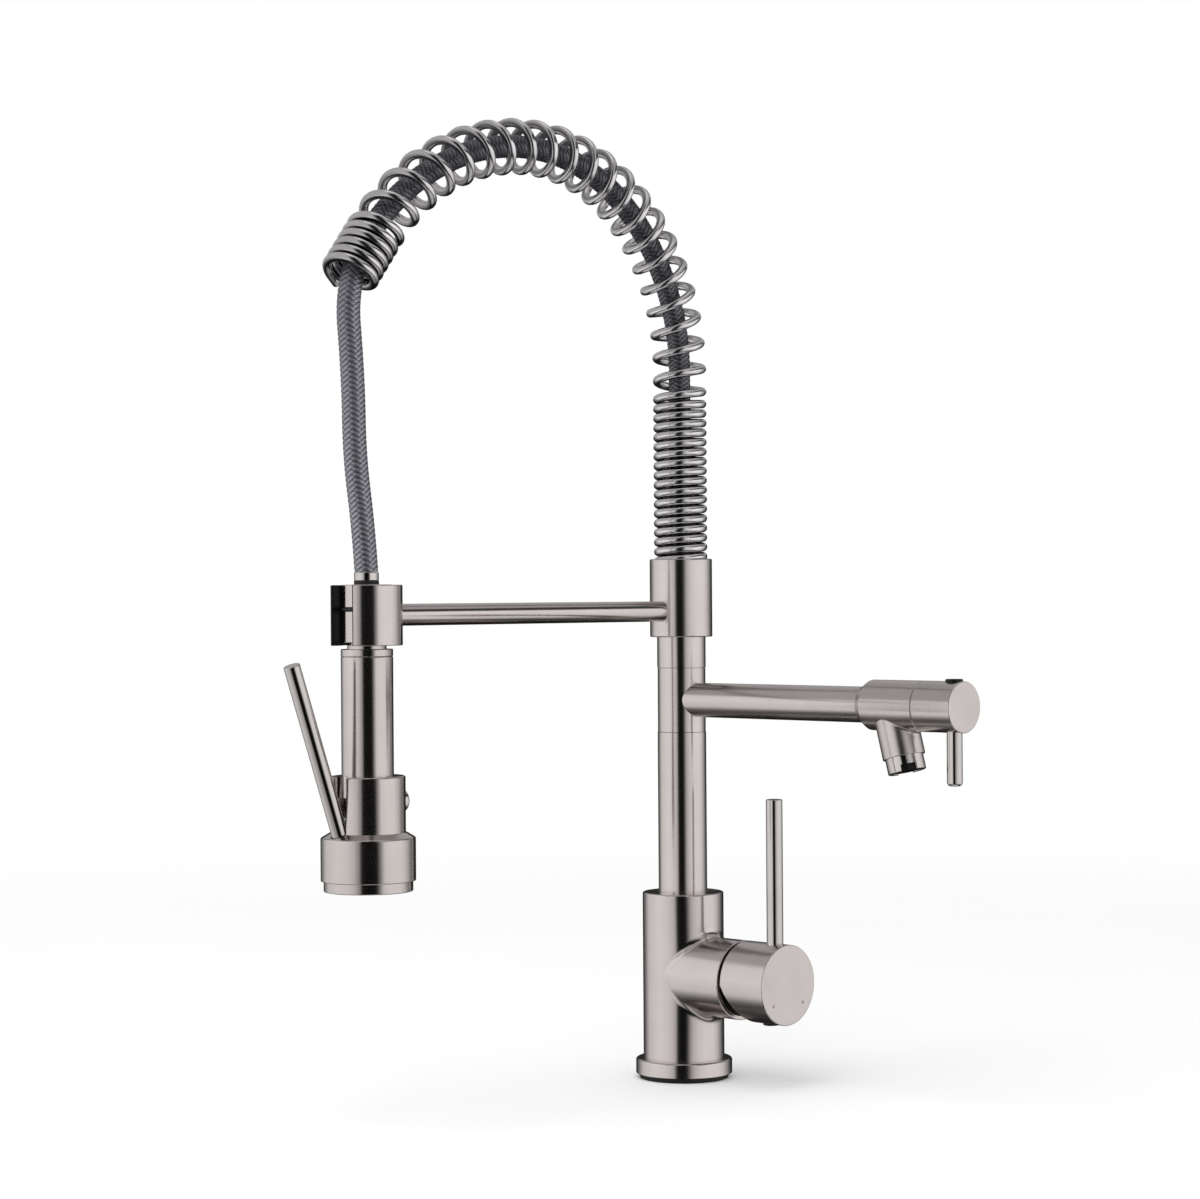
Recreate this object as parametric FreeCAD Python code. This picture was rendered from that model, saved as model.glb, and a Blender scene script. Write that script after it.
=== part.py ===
import FreeCAD
import Part

import math
import os

# Kitchen faucet for a single deck hole, in millimetres.
# The column stands on +Z, the spray bracket runs along -Y, the mixer and the pot filler along +X.
# The origin is on the column axis at the deck.

V = FreeCAD.Vector
X = V(1, 0, 0)
Y = V(0, 1, 0)
Z = V(0, 0, 1)
ORIGIN = V(0, 0, 0)

# Fits shared by all pieces
SLIP = 0.05                    # radial clearance of screwed, pressed and running fits
TURN_GAP = 0.25                # gap between faces that turn past each other
EDGE = 0.5                     # rounded edge of turned pieces
OVERCUT = 1.0                  # how far a cutting tool stands out of the piece it cuts

# Deck fixing
GASKET_THICKNESS = 2.5
GASKET_INSET = 2.25            # gasket edge back from the base ring's edge
SHANK_DIAMETER = 32.0
SHANK_LENGTH = 60.0            # below the deck
SHANK_WALL = 3.5
SHANK_SPIGOT_WALL = 2.4        # wall of the end screwed into the body
SHANK_SPIGOT_LENGTH = 12.0
PILOT_STEP = 0.75              # plain pilot's step over the shank
PILOT_LENGTH = 6.0             # below the deck
GASKET_CLEARANCE = 0.4         # gasket bore round the shank's head
CLAMP_GAP = 38.0               # deck space above the clamping set as delivered
RUBBER_WASHER_THICKNESS = 3.0
STEEL_WASHER_THICKNESS = 1.5
CLAMP_WASHER_RING = 8.0        # radial width of both clamp washers
WASHER_CLEARANCE = 0.4         # washer bore round the pilot
LOCKNUT_THICKNESS = 10.0
LOCKNUT_WALL = 4.5             # thinnest wall, at the middle of a flat

# Base ring and valve body
BASE_RING_LIP = 4.25           # base ring beyond the body
BASE_RING_HEIGHT = 8.4
BASE_RING_EDGE = 1.2
BODY_SPIGOT_INSET = 2.5        # spigot into the base ring, in from the body's side
BODY_SPIGOT_LENGTH = 6.0
BODY_DIAMETER = 45.0
BODY_HEIGHT = 92.1
BODY_TOP_EDGE = 0.8
BRANCH_DIAMETER = 43.5
BRANCH_HEIGHT = 46.6           # axis above the body's foot
BRANCH_REACH = 45.0            # branch end from the column axis
SADDLE_FILLET = 5.0
INLET_DIAMETER = 9.0           # tapping size of the M10x1 supply inlets
INLET_DEPTH = 12.0
INLET_OFFSET = 7.0             # each side of the column axis
WATERWAY_DIAMETER = 7.0
OUTLET_RISE = 9.0              # outlet way above the branch axis
INLET_DROP = 7.0               # inlet ways below the branch axis

# Mixer cartridge and handle
CARTRIDGE_DIAMETER = 35.0
CARTRIDGE_LENGTH = 26.0
CARTRIDGE_PORT_DEPTH = 12.0    # solid end of the housing, with the ports
NUT_RECESS = 1.0               # cartridge nut behind the branch end
NUT_THICKNESS = 7.0
NUT_STEP = 2.0                 # nut thread beyond the cartridge
NUT_BORE_GAP = 2.0             # nut bore round the rotor
ROTOR_DIAMETER = 23.0
ROTOR_PROUD = 2.0              # rotor beyond the housing
ROTOR_END_GAP = 0.3            # rotor off the floor of the housing
STEM_SQUARE = 8.0
STEM_TAIL = 5.0                # stem behind its pivot
STEM_SIDE_GAP = 0.15           # stem in the rotor slot, each side
PIVOT_DEPTH = 7.0              # tilt pivot behind the front of the housing
STEM_PIN_DIAMETER = 3.0
MIXER_TILT = 25.0              # opening angle in degrees
TILT_CLEARANCE = 0.5           # handle off the branch when fully open
HANDLE_GAP = 1.9               # dark gap between branch and handle
HANDLE_LENGTH = 30.2
HANDLE_WALL = 3.2
HANDLE_CAVITY_DEPTH = 12.5
STEM_SOCKET_DEPTH = 11.0
LEVER_SETBACK = 9.2            # lever axis behind the handle's face
LEVER_DIAMETER = 9.0
LEVER_LENGTH = 78.0            # seen above the handle
LEVER_THREAD_DIAMETER = 6.0
LEVER_THREAD_LENGTH = 8.0
SCREW_SETBACK = 12.5           # grub screw axis behind the handle's face
GRUB_DIAMETER = 5.0
PLUG_DIAMETER = 8.5
PLUG_DEPTH = 2.0
PLUG_PROUD = 0.8

# Column and pot filler hub
COLUMN_DIAMETER = 27.0
COLUMN_WALL = 1.75
COLUMN_SOCKET_DEPTH = 12.0
LOWER_COLUMN_HEIGHT = 88.9     # seen between body and hub
UPPER_COLUMN_HEIGHT = 17.0     # seen between hub and sleeve
SPINE_DIAMETER = 15.0
SPINE_BORE = 10.0
SPINE_SOCKET_DEPTH = 11.0      # below the column socket
SPINE_LEDGE = 1.5              # ledge that the spine stands on
JOURNAL_DIAMETER = 20.0
BUSH_HEIGHT = 9.0
HUB_STEP = 0.2                 # hub side in from the column's
HUB_HEIGHT = 35.4
HUB_WASHER_THICKNESS = 1.2
HUB_WASHER_WIDTH = 1.5
SEAL_WIRE = 1.8                # O-ring section
SEAL_SPACING = 21.0
GALLERY_DEPTH = 1.2            # water groove inside the hub
GALLERY_HEIGHT = 9.0

# Pot filler
ARM_DIAMETER = 19.0
ARM_WALL = 1.5
ARM_REACH = 133.0              # where the valve body starts
ARM_SOCKET_DEPTH = 8.0
FILLER_DIAMETER = 26.5
FILLER_LENGTH = 39.0
FILLER_CONE = 5.0
FILLER_LIP = 0.5               # thickness of the cone's edge round the arm
FILLER_CARTRIDGE_LENGTH = 16.0
FILLER_NUT_THICKNESS = 5.0
FILLER_NUT_STEP = 1.2
FILLER_WALL = 3.2              # valve body wall round the cartridge
OUTLET_SETBACK = 21.3          # outlet axis behind the valve body's front, on the arm axis
OUTLET_LEAN = 15.0             # degrees off vertical
OUTLET_DIAMETER = 22.3
OUTLET_LENGTH = 27.6           # from the arm axis
OUTLET_FILLET = 1.5
AERATOR_STEP = 1.15            # aerator ring side in from the outlet's
AERATOR_LENGTH = 7.9
AERATOR_THREAD_LENGTH = 6.0
AERATOR_WALL = 2.6
AERATOR_THREAD_STEP = 1.5      # thread radius in from the ring's side
SCREEN_THICKNESS = 3.0
SCREEN_SETBACK = 0.4           # screen behind the rim
SCREEN_HOLE = 1.6
SCREEN_PITCH = 2.6
NOTCH_WIDTH = 7.7
NOTCH_DEPTH = 3.4
NOTCH_TURN = 45.0              # degrees from the front towards the lever
FILLER_CAP_LENGTH = 25.0
FILLER_CAP_CAVITY = 6.0
SPINDLE_DIAMETER = 8.0
SPINDLE_SOCKET = 12.0          # spindle in the cap beyond the cavity
FILLER_LEVER_SETBACK = 6.5     # lever axis behind the cap's face
FILLER_LEVER_DIAMETER = 8.1
FILLER_LEVER_LENGTH = 27.2     # seen below the cap
FILLER_THREAD_DIAMETER = 5.0
FILLER_THREAD_LENGTH = 5.0
FILLER_PLUG_DIAMETER = 9.0
FILLER_PLUG_DEPTH = 1.5
FILLER_PLUG_PROUD = 1.1
FILLER_GRUB_DIAMETER = 4.0

# Bracket sleeve, rod and dock
SLEEVE_HEIGHT = 43.3
SLEEVE_WALL = 1.4
SLEEVE_BUSH_WALL = 1.7
SLEEVE_BUSH_HEIGHT = 13.0
SLEEVE_WEB = 4.0
SLEEVE_EDGE = 0.8
WEB_CLEARANCE = 0.3            # web bore round the spine
ROD_RISE = 14.2                # rod axis above the sleeve's foot
ROD_DIAMETER = 11.2
ROD_SEAT = 1.1                 # depth of the rod's seat in the sleeve and the dock
BRACKET_REACH = 230.0          # spray axis from the column axis
DOCK_HEIGHT = 30.3
DOCK_WALL = 3.9
LINER_WALL = 1.0
LINER_LIP = 0.8                # liner on the faces of the slot
SLOT_WIDTH = 15.0
DOCK_CLEARANCE = 0.35          # neck in the liner

# Spring
WIRE_DIAMETER = 4.8
COIL_DIAMETER = 25.0           # to the middle of the wire
COIL_GAP = 0.5                 # between the closed turns
SPRING_CLEARANCE = 0.15        # straight wire end in the sleeve
CLOSED_TURNS = 21
OPEN_TURNS = 22
MOUTH_TURNS = 5
RAMP_TURNS = 1                 # over which the pitch changes
PITCH_GROWTH = 4.0             # last open pitch over the first
STRAIGHT_RISE = 104.4          # straight spring above the sleeve
BACK_RADIUS = 112.7
FRONT_RADIUS = 139.6
FRONT_TURN = 53.2              # degrees past the top
MOUTH_LENGTH = 28.0            # straight closed end
WIRE_START = 180.0             # degrees round the coil, from +X to the wire's start

# Hose and its fittings
HOSE_DIAMETER = 12.0
HOSE_BORE = 6.8
HOSE_ROUTE = [(0.0, 274.05), (0.0, 422.0), (30.2, 474.5), (82.5, 505.0), (147.0, 505.0), (206.7, 475.5),
              (242.8, 429.9), (237.8, 377.0), (237.3, 338.5), (230.0, 304.0), (230.0, 280.55)]   # reach, height
ARC_SHARE = 0.45               # of the shorter run taken by each bend
FITTING_CLEARANCE = 0.8        # hose fitting inside the spring
SWIVEL_HEIGHT = 12.0
SWIVEL_OVERLAP = 8.0           # spine inside the hose swivel
NIPPLE_LENGTH = 14.0
FERRULE_WALL = 0.9
LOWER_FERRULE_LENGTH = 12.0
FERRULE_LENGTH = 4.4
FERRULE_STEP = 0.2             # upper ferrule beyond the hose
HOSE_SEAL_THICKNESS = 1.8
HOSE_SEAL_STEP = 0.3           # seal side beyond the hose

# Spray head
NECK_DIAMETER = 25.4
NECK_WAIST = 19.7
NECK_GAP = 1.7                 # waist seen under the dock
NECK_RISE = 0.2                # neck above the dock
NECK_INSIDE = 1.5              # plug's lower edge above the dock's foot
NECK_THREAD_LENGTH = 10.0
NECK_SEAL_WIRE = 2.3
NECK_SEAL_PROUD = 0.2
NECK_SEAL_RISE = 3.0           # seal above the rod's axis
GRIP_DIAMETER = 26.2
GRIP_WALL = 2.1
GRIP_LENGTH = 63.5             # seen above the collar
GRIP_RING_HEIGHT = 3.8
GRIP_SOCKET = 8.0              # grip inside the collar
WATER_TUBE_DIAMETER = 12.0
WATER_TUBE_WALL = 1.5
WATER_TUBE_SEAT = 4.0
COLLAR_DIAMETER = 37.8
COLLAR_HEIGHT = 44.5           # with the part inside the bell
COLLAR_EDGE = 1.0
BELL_STEP = 4.95               # bell beyond the collar
BELL_HEIGHT = 24.2
BELL_SKIRT = 8.0               # below the collar's foot
BELL_WALL = 2.4
BELL_SLOPE = 2.6               # fall of the sloping shoulder
BELL_EDGE = 1.2
BEZEL_STEP = 1.45              # bezel side in from the bell's
BEZEL_HEIGHT = 5.2
BEZEL_SPIGOT = 5.5
BEZEL_LIP = 1.6
BEZEL_WALL = 2.0
FACE_THICKNESS = 4.0
FACE_LEDGE = 0.9               # bezel lip under the face
OUTER_JETS = 18
INNER_JETS = 12
OUTER_JET_RING = 32.5          # pitch circle diameters
INNER_JET_RING = 23.0
JET_DIAMETER = 2.2
JET_LENGTH = 1.3
STREAM_DIAMETER = 14.0
STREAM_PROUD = 1.0
STREAM_LENGTH = 9.0

# Trigger, plunger and button
TRIGGER_DIAMETER = 8.3
TRIGGER_LENGTH = 99.4
TRIGGER_ANGLE = 19.5           # degrees off vertical at rest
TRIGGER_OFFSET = 15.3          # pivot from the spray axis
TRIGGER_RISE = 7.0             # pivot above the collar's foot
TRIGGER_CLEARANCE = 0.55
TRIGGER_PIN_DIAMETER = 3.0
TRIGGER_PIN_INSET = 0.4        # pin ends inside the collar's side
SLOT_FLOOR = 2.5               # between the deep slot and the grip socket
GROOVE_WALL = 0.8              # between the shallow groove and the grip socket
PLUNGER_DIAMETER = 5.0
PLUNGER_RISE = 22.0            # above the collar's foot
PLUNGER_LENGTH = 17.0
PLUNGER_GAP = 0.2              # plunger tip off the trigger
PLUNGER_STROKE = 2.8
BUTTON_DIAMETER = 12.5
BUTTON_RISE = 31.0             # above the collar's foot
BUTTON_PROUD = 4.4
BUTTON_THICKNESS = 5.7
BUTTON_STROKE = 3.0
BUTTON_END_GAP = 1.0           # left behind a pressed button
BUTTON_STEM_DIAMETER = 4.0
BUTTON_STEM_LENGTH = 8.0
BUTTON_DOME = 2.0

# Heights and radii that follow from the sizes above
BASE_TOP = GASKET_THICKNESS + BASE_RING_HEIGHT
BODY_TOP = BASE_TOP + BODY_HEIGHT
BODY_FOOT = BASE_TOP - BODY_SPIGOT_LENGTH
BASE_RING_DIAMETER = BODY_DIAMETER + 2 * BASE_RING_LIP
GASKET_DIAMETER = BASE_RING_DIAMETER - 2 * GASKET_INSET
PILOT_DIAMETER = SHANK_DIAMETER + 2 * PILOT_STEP
SHANK_BORE = SHANK_DIAMETER - 2 * SHANK_WALL
SHANK_SPIGOT_DIAMETER = SHANK_BORE + 2 * SHANK_SPIGOT_WALL
SHANK_SPIGOT_TOP = BODY_FOOT + SHANK_SPIGOT_LENGTH
BRANCH_Z = BASE_TOP + BRANCH_HEIGHT
NUT_FRONT = BRANCH_REACH - NUT_RECESS
CARTRIDGE_FRONT = NUT_FRONT - NUT_THICKNESS
CARTRIDGE_BACK = CARTRIDGE_FRONT - CARTRIDGE_LENGTH
ROTOR_BACK = CARTRIDGE_BACK + CARTRIDGE_PORT_DEPTH
ROTOR_FRONT = CARTRIDGE_FRONT + ROTOR_PROUD
PIVOT_X = CARTRIDGE_FRONT - PIVOT_DEPTH
MIXER_PIVOT = V(PIVOT_X, 0, BRANCH_Z)
NUT_DIAMETER = CARTRIDGE_DIAMETER + 2 * NUT_STEP
HANDLE_BACK = BRANCH_REACH + HANDLE_GAP
HANDLE_FACE = HANDLE_BACK + HANDLE_LENGTH
STEM_SEAT = HANDLE_BACK + HANDLE_CAVITY_DEPTH
STEM_END = STEM_SEAT + STEM_SOCKET_DEPTH
COLUMN_SEAT = BODY_TOP - COLUMN_SOCKET_DEPTH
SPINE_FOOT = COLUMN_SEAT - SPINE_SOCKET_DEPTH
LOWER_TOP = BODY_TOP + LOWER_COLUMN_HEIGHT
HUB_FOOT = LOWER_TOP + TURN_GAP
HUB_TOP = HUB_FOOT + HUB_HEIGHT
UPPER_FOOT = HUB_TOP + TURN_GAP
ARM_Z = HUB_FOOT + HUB_HEIGHT / 2
HUB_DIAMETER = COLUMN_DIAMETER - 2 * HUB_STEP
COLUMN_BORE = COLUMN_DIAMETER - 2 * COLUMN_WALL
SLEEVE_FOOT = UPPER_FOOT + UPPER_COLUMN_HEIGHT
SLEEVE_TOP = SLEEVE_FOOT + SLEEVE_HEIGHT
ROD_Z = SLEEVE_FOOT + ROD_RISE
WEB_FOOT = SLEEVE_FOOT + TURN_GAP + SLEEVE_BUSH_HEIGHT
WEB_TOP = WEB_FOOT + SLEEVE_WEB
SPINE_TOP = WEB_TOP + SWIVEL_OVERLAP
WIRE_RADIUS = WIRE_DIAMETER / 2
COIL_RADIUS = COIL_DIAMETER / 2
SPRING_SOCKET = math.hypot(COIL_RADIUS, WIRE_DIAMETER) + WIRE_RADIUS + SPRING_CLEARANCE
SLEEVE_BUSH_RADIUS = COLUMN_DIAMETER / 2 + SLIP + SLEEVE_BUSH_WALL
SLEEVE_RADIUS = max(SPRING_SOCKET, SLEEVE_BUSH_RADIUS + SLIP) + SLEEVE_WALL
LINER_BORE = NECK_DIAMETER / 2 + DOCK_CLEARANCE
DOCK_BORE = LINER_BORE + LINER_WALL + SLIP
DOCK_RADIUS = DOCK_BORE + DOCK_WALL
DOCK_FOOT = ROD_Z - DOCK_HEIGHT / 2
DOCK_TOP = ROD_Z + DOCK_HEIGHT / 2
NECK_TOP = DOCK_TOP + NECK_RISE
GRIP_TOP = DOCK_FOOT - NECK_GAP
COLLAR_TOP = GRIP_TOP - GRIP_LENGTH
COLLAR_FOOT = COLLAR_TOP - COLLAR_HEIGHT
GRIP_FOOT = COLLAR_TOP - GRIP_SOCKET
BELL_FOOT = COLLAR_FOOT - BELL_SKIRT
BELL_TOP = BELL_FOOT + BELL_HEIGHT
BELL_RADIUS = COLLAR_DIAMETER / 2 + BELL_STEP
BEZEL_RADIUS = BELL_RADIUS - BEZEL_STEP
BEZEL_FOOT = BELL_FOOT - BEZEL_HEIGHT
BELL_CAVITY = BELL_RADIUS - BELL_WALL
FACE_RADIUS = BELL_CAVITY - SLIP - BEZEL_WALL
FACE_FOOT = BEZEL_FOOT + BEZEL_LIP
TRIGGER_PIVOT = V(0, -TRIGGER_OFFSET, COLLAR_FOOT + TRIGGER_RISE)
TRIGGER_SLOT = TRIGGER_DIAMETER + 2 * TRIGGER_CLEARANCE
FILLER_FRONT = ARM_REACH + FILLER_LENGTH
FILLER_NUT_BACK = FILLER_FRONT - FILLER_NUT_THICKNESS
FILLER_SEAT = FILLER_NUT_BACK - FILLER_CARTRIDGE_LENGTH
FILLER_CARTRIDGE_RADIUS = FILLER_DIAMETER / 2 - FILLER_WALL - SLIP
FILLER_CAP_BACK = FILLER_FRONT + TURN_GAP
FILLER_CAP_FACE = FILLER_CAP_BACK + FILLER_CAP_LENGTH
FILLER_LEVER_X = FILLER_CAP_FACE - FILLER_LEVER_SETBACK
OUTLET_START = V(FILLER_FRONT - OUTLET_SETBACK, 0, ARM_Z)
OUTLET_AXIS = V(math.sin(math.radians(OUTLET_LEAN)), 0, -math.cos(math.radians(OUTLET_LEAN)))
AERATOR_RADIUS = OUTLET_DIAMETER / 2 - AERATOR_STEP


def outline(corners):
    """Closed outline in the XZ plane from (radius, height) or (radius, height, rounding) corners."""
    points = [V(corner[0], 0, corner[1]) for corner in corners]
    bends = []
    for index, here in enumerate(points):
        rounding = corners[index][2] if len(corners[index]) > 2 else 0
        if not rounding:
            bends.append((here, None, here))
            continue
        back = (points[index - 1] - here).normalize()
        ahead = (points[(index + 1) % len(points)] - here).normalize()
        half = back.getAngle(ahead) / 2
        inward = (back + ahead).normalize()
        centre = here + inward * (rounding / math.sin(half))
        reach = rounding / math.tan(half)
        bends.append((here + back * reach, centre - inward * rounding, here + ahead * reach))
    edges = []
    for index, (start, middle, end) in enumerate(bends):
        previous = bends[index - 1][2]
        if previous.distanceToPoint(start) > 1e-6:
            edges.append(Part.makeLine(previous, start))
        if middle:
            edges.append(Part.Arc(start, middle, end).toShape())
    return Part.Wire(edges)


def turned(corners, base=ORIGIN, axis=Z):
    """Solid turned round an axis from its half section."""
    solid = Part.Face(outline(corners)).revolve(ORIGIN, Z, 360)
    solid.Placement = FreeCAD.Placement(base, FreeCAD.Rotation(Z, axis))
    return solid


def ring(outer, inner, foot, top, edge=0.0):
    """Upright ring about the column axis."""
    return turned([(inner, foot), (outer, foot, edge), (outer, top, edge), (inner, top)])


def bar(radius, start, end, edge=0.0):
    """Round bar between two points, its end edge rounded."""
    run = end - start
    return turned([(0, 0), (radius, 0), (radius, run.Length, edge), (0, run.Length)], start, run)


def box(low, high):
    """Box between two corners."""
    size = high - low
    return Part.makeBox(size.x, size.y, size.z, low)


def on_spray(shape):
    """Moves a piece drawn about the column axis to the spray axis."""
    shape.translate(V(0, -BRACKET_REACH, 0))
    return shape


def about_x(distance, height):
    """Point on a level axis along X."""
    return V(distance, 0, height)


# Deck fixing

def base_gasket():
    bore = PILOT_DIAMETER / 2 + GASKET_CLEARANCE
    return ring(GASKET_DIAMETER / 2, bore, 0, GASKET_THICKNESS)


def mounting_shank():
    bore = SHANK_BORE / 2
    shank = SHANK_DIAMETER / 2
    pilot = PILOT_DIAMETER / 2
    spigot = SHANK_SPIGOT_DIAMETER / 2
    return turned([(bore, -SHANK_LENGTH), (shank, -SHANK_LENGTH, EDGE), (shank, -PILOT_LENGTH),
                   (pilot, -PILOT_LENGTH), (pilot, 0), (shank, 0), (shank, BODY_FOOT),
                   (spigot, BODY_FOOT), (spigot, SHANK_SPIGOT_TOP), (bore, SHANK_SPIGOT_TOP)])


def clamp_washer(top, thickness):
    bore = PILOT_DIAMETER / 2 + WASHER_CLEARANCE
    return ring(bore + CLAMP_WASHER_RING, bore, top - thickness, top)


def locknut():
    top = -CLAMP_GAP - RUBBER_WASHER_THICKNESS - STEEL_WASHER_THICKNESS
    bore = SHANK_DIAMETER / 2 + SLIP
    corner = (bore + LOCKNUT_WALL) / math.cos(math.pi / 6)
    angles = [k * math.pi / 3 for k in range(7)]
    points = [V(corner * math.cos(angle), corner * math.sin(angle), top) for angle in angles]
    hexagon = Part.Face(Part.makePolygon(points)).extrude(V(0, 0, -LOCKNUT_THICKNESS))
    return hexagon.cut(bar(bore, V(0, 0, top + OVERCUT), V(0, 0, top - LOCKNUT_THICKNESS - OVERCUT)))


# Base ring and valve body

def base_ring():
    bore = BODY_DIAMETER / 2 - BODY_SPIGOT_INSET + SLIP
    outer = BASE_RING_DIAMETER / 2
    return turned([(bore, GASKET_THICKNESS), (outer, GASKET_THICKNESS, EDGE),
                   (outer, BASE_TOP, BASE_RING_EDGE), (bore, BASE_TOP)])


def body_casting():
    """Upright body and side branch joined by the saddle fillet."""
    radius = BODY_DIAMETER / 2
    spigot = radius - BODY_SPIGOT_INSET
    upright = turned([(0, BODY_FOOT), (spigot, BODY_FOOT), (spigot, BASE_TOP), (radius, BASE_TOP),
                      (radius, BODY_TOP, BODY_TOP_EDGE), (0, BODY_TOP)])
    branch = bar(BRANCH_DIAMETER / 2, about_x(0, BRANCH_Z), about_x(BRANCH_REACH, BRANCH_Z), EDGE)
    joined = upright.fuse(branch)
    saddle = []
    for edge in joined.Edges:
        point = edge.valueAt((edge.FirstParameter + edge.LastParameter) / 2)
        off_body = abs(math.hypot(point.x, point.y) - radius)
        off_branch = abs(math.hypot(point.y, point.z - BRANCH_Z) - BRANCH_DIAMETER / 2)
        if max(off_body, off_branch) < SLIP and point.x > 0:
            saddle.append(edge)
    return joined.makeFillet(SADDLE_FILLET, saddle)


def valve_body():
    body = body_casting()
    way = WATERWAY_DIAMETER / 2
    low_z = BRANCH_Z - INLET_DROP
    high_z = BRANCH_Z + OUTLET_RISE
    end_x = BRANCH_REACH + OVERCUT
    tools = [
        bar(CARTRIDGE_DIAMETER / 2 + SLIP, about_x(CARTRIDGE_BACK, BRANCH_Z), about_x(end_x, BRANCH_Z)),
        bar(NUT_DIAMETER / 2 + SLIP, about_x(CARTRIDGE_FRONT, BRANCH_Z), about_x(end_x, BRANCH_Z)),
        bar(SHANK_SPIGOT_DIAMETER / 2 + SLIP, V(0, 0, BODY_FOOT - OVERCUT), V(0, 0, SHANK_SPIGOT_TOP)),
        bar(COLUMN_DIAMETER / 2 + SLIP, V(0, 0, COLUMN_SEAT), V(0, 0, BODY_TOP + OVERCUT)),
        bar(SPINE_DIAMETER / 2 + SLIP, V(0, 0, SPINE_FOOT), V(0, 0, BODY_TOP)),
        bar(SPINE_DIAMETER / 2 - SPINE_LEDGE, V(0, 0, high_z), V(0, 0, BODY_TOP)),
        bar(way, about_x(0, high_z), about_x(CARTRIDGE_BACK + OVERCUT, high_z)),
    ]
    for side in (-INLET_OFFSET, INLET_OFFSET):
        port_top = SHANK_SPIGOT_TOP + INLET_DEPTH
        tools.append(bar(INLET_DIAMETER / 2, V(0, side, SHANK_SPIGOT_TOP), V(0, side, port_top)))
        tools.append(bar(way, V(0, side, SHANK_SPIGOT_TOP), V(0, side, low_z)))
        tools.append(bar(way, V(0, side, low_z), V(CARTRIDGE_BACK + OVERCUT, side, low_z)))
    return body.cut(tools)


# Mixer cartridge and handle

def mixer_cartridge():
    outer = CARTRIDGE_DIAMETER / 2
    bore = ROTOR_DIAMETER / 2 + SLIP
    floor = CARTRIDGE_PORT_DEPTH
    housing = turned([(0, 0), (outer, 0), (outer, CARTRIDGE_LENGTH), (bore, CARTRIDGE_LENGTH),
                      (bore, floor), (0, floor)], about_x(CARTRIDGE_BACK, BRANCH_Z), X)
    way = WATERWAY_DIAMETER / 2
    ports = [(-INLET_OFFSET, -INLET_DROP), (INLET_OFFSET, -INLET_DROP), (0, OUTLET_RISE)]
    drills = [bar(way, V(CARTRIDGE_BACK - OVERCUT, y, BRANCH_Z + z), V(ROTOR_BACK, y, BRANCH_Z + z))
              for y, z in ports]
    return housing.cut(drills)


def cartridge_nut():
    bore = ROTOR_DIAMETER / 2 + NUT_BORE_GAP
    return turned([(bore, 0), (NUT_DIAMETER / 2, 0), (NUT_DIAMETER / 2, NUT_THICKNESS, EDGE),
                   (bore, NUT_THICKNESS, EDGE)], about_x(CARTRIDGE_FRONT, BRANCH_Z), X)


def stem_pin(clearance=0.0):
    half = ROTOR_DIAMETER / 2 - EDGE
    return bar(STEM_PIN_DIAMETER / 2 + clearance, MIXER_PIVOT - Y * half, MIXER_PIVOT + Y * half)


def cartridge_rotor():
    back = ROTOR_BACK + ROTOR_END_GAP
    rotor = bar(ROTOR_DIAMETER / 2, about_x(back, BRANCH_Z), about_x(ROTOR_FRONT, BRANCH_Z), EDGE)
    half = STEM_SQUARE / 2 + STEM_SIDE_GAP
    swing = math.tan(math.radians(MIXER_TILT)) * (ROTOR_FRONT - PIVOT_X)
    reach = half / math.cos(math.radians(MIXER_TILT)) + swing + STEM_SIDE_GAP
    slot = box(V(back - OVERCUT, -half, BRANCH_Z - reach), V(ROTOR_FRONT + OVERCUT, half, BRANCH_Z + reach))
    return rotor.cut([slot, stem_pin()])


def cartridge_stem():
    half = STEM_SQUARE / 2
    tail = PIVOT_X - STEM_TAIL
    stem = box(V(tail, -half, BRANCH_Z - half), V(STEM_END - SLIP, half, BRANCH_Z + half))
    return stem.cut(stem_pin(SLIP))


def handle_screw():
    x = HANDLE_FACE - SCREW_SETBACK
    foot = BRANCH_Z - BRANCH_DIAMETER / 2 + PLUG_DEPTH
    return bar(GRUB_DIAMETER / 2, V(x, 0, foot), V(x, 0, BRANCH_Z - STEM_SQUARE / 2 - SLIP))


def handle_plug():
    x = HANDLE_FACE - SCREW_SETBACK
    seat = BRANCH_Z - BRANCH_DIAMETER / 2 + PLUG_DEPTH
    return bar(PLUG_DIAMETER / 2, V(x, 0, seat), V(x, 0, seat - PLUG_DEPTH - PLUG_PROUD), EDGE)


def mixer_lever():
    x = HANDLE_FACE - LEVER_SETBACK
    seat = LEVER_THREAD_LENGTH
    crown = BRANCH_DIAMETER / 2 - math.sqrt((BRANCH_DIAMETER / 2) ** 2 - (LEVER_DIAMETER / 2) ** 2)
    foot = V(x, 0, BRANCH_Z + BRANCH_DIAMETER / 2 - crown - seat)
    thread = LEVER_THREAD_DIAMETER / 2
    top = seat + crown + LEVER_LENGTH
    return turned([(0, 0), (thread, 0), (thread, seat), (LEVER_DIAMETER / 2, seat),
                   (LEVER_DIAMETER / 2, top, EDGE), (0, top)], foot)


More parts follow.
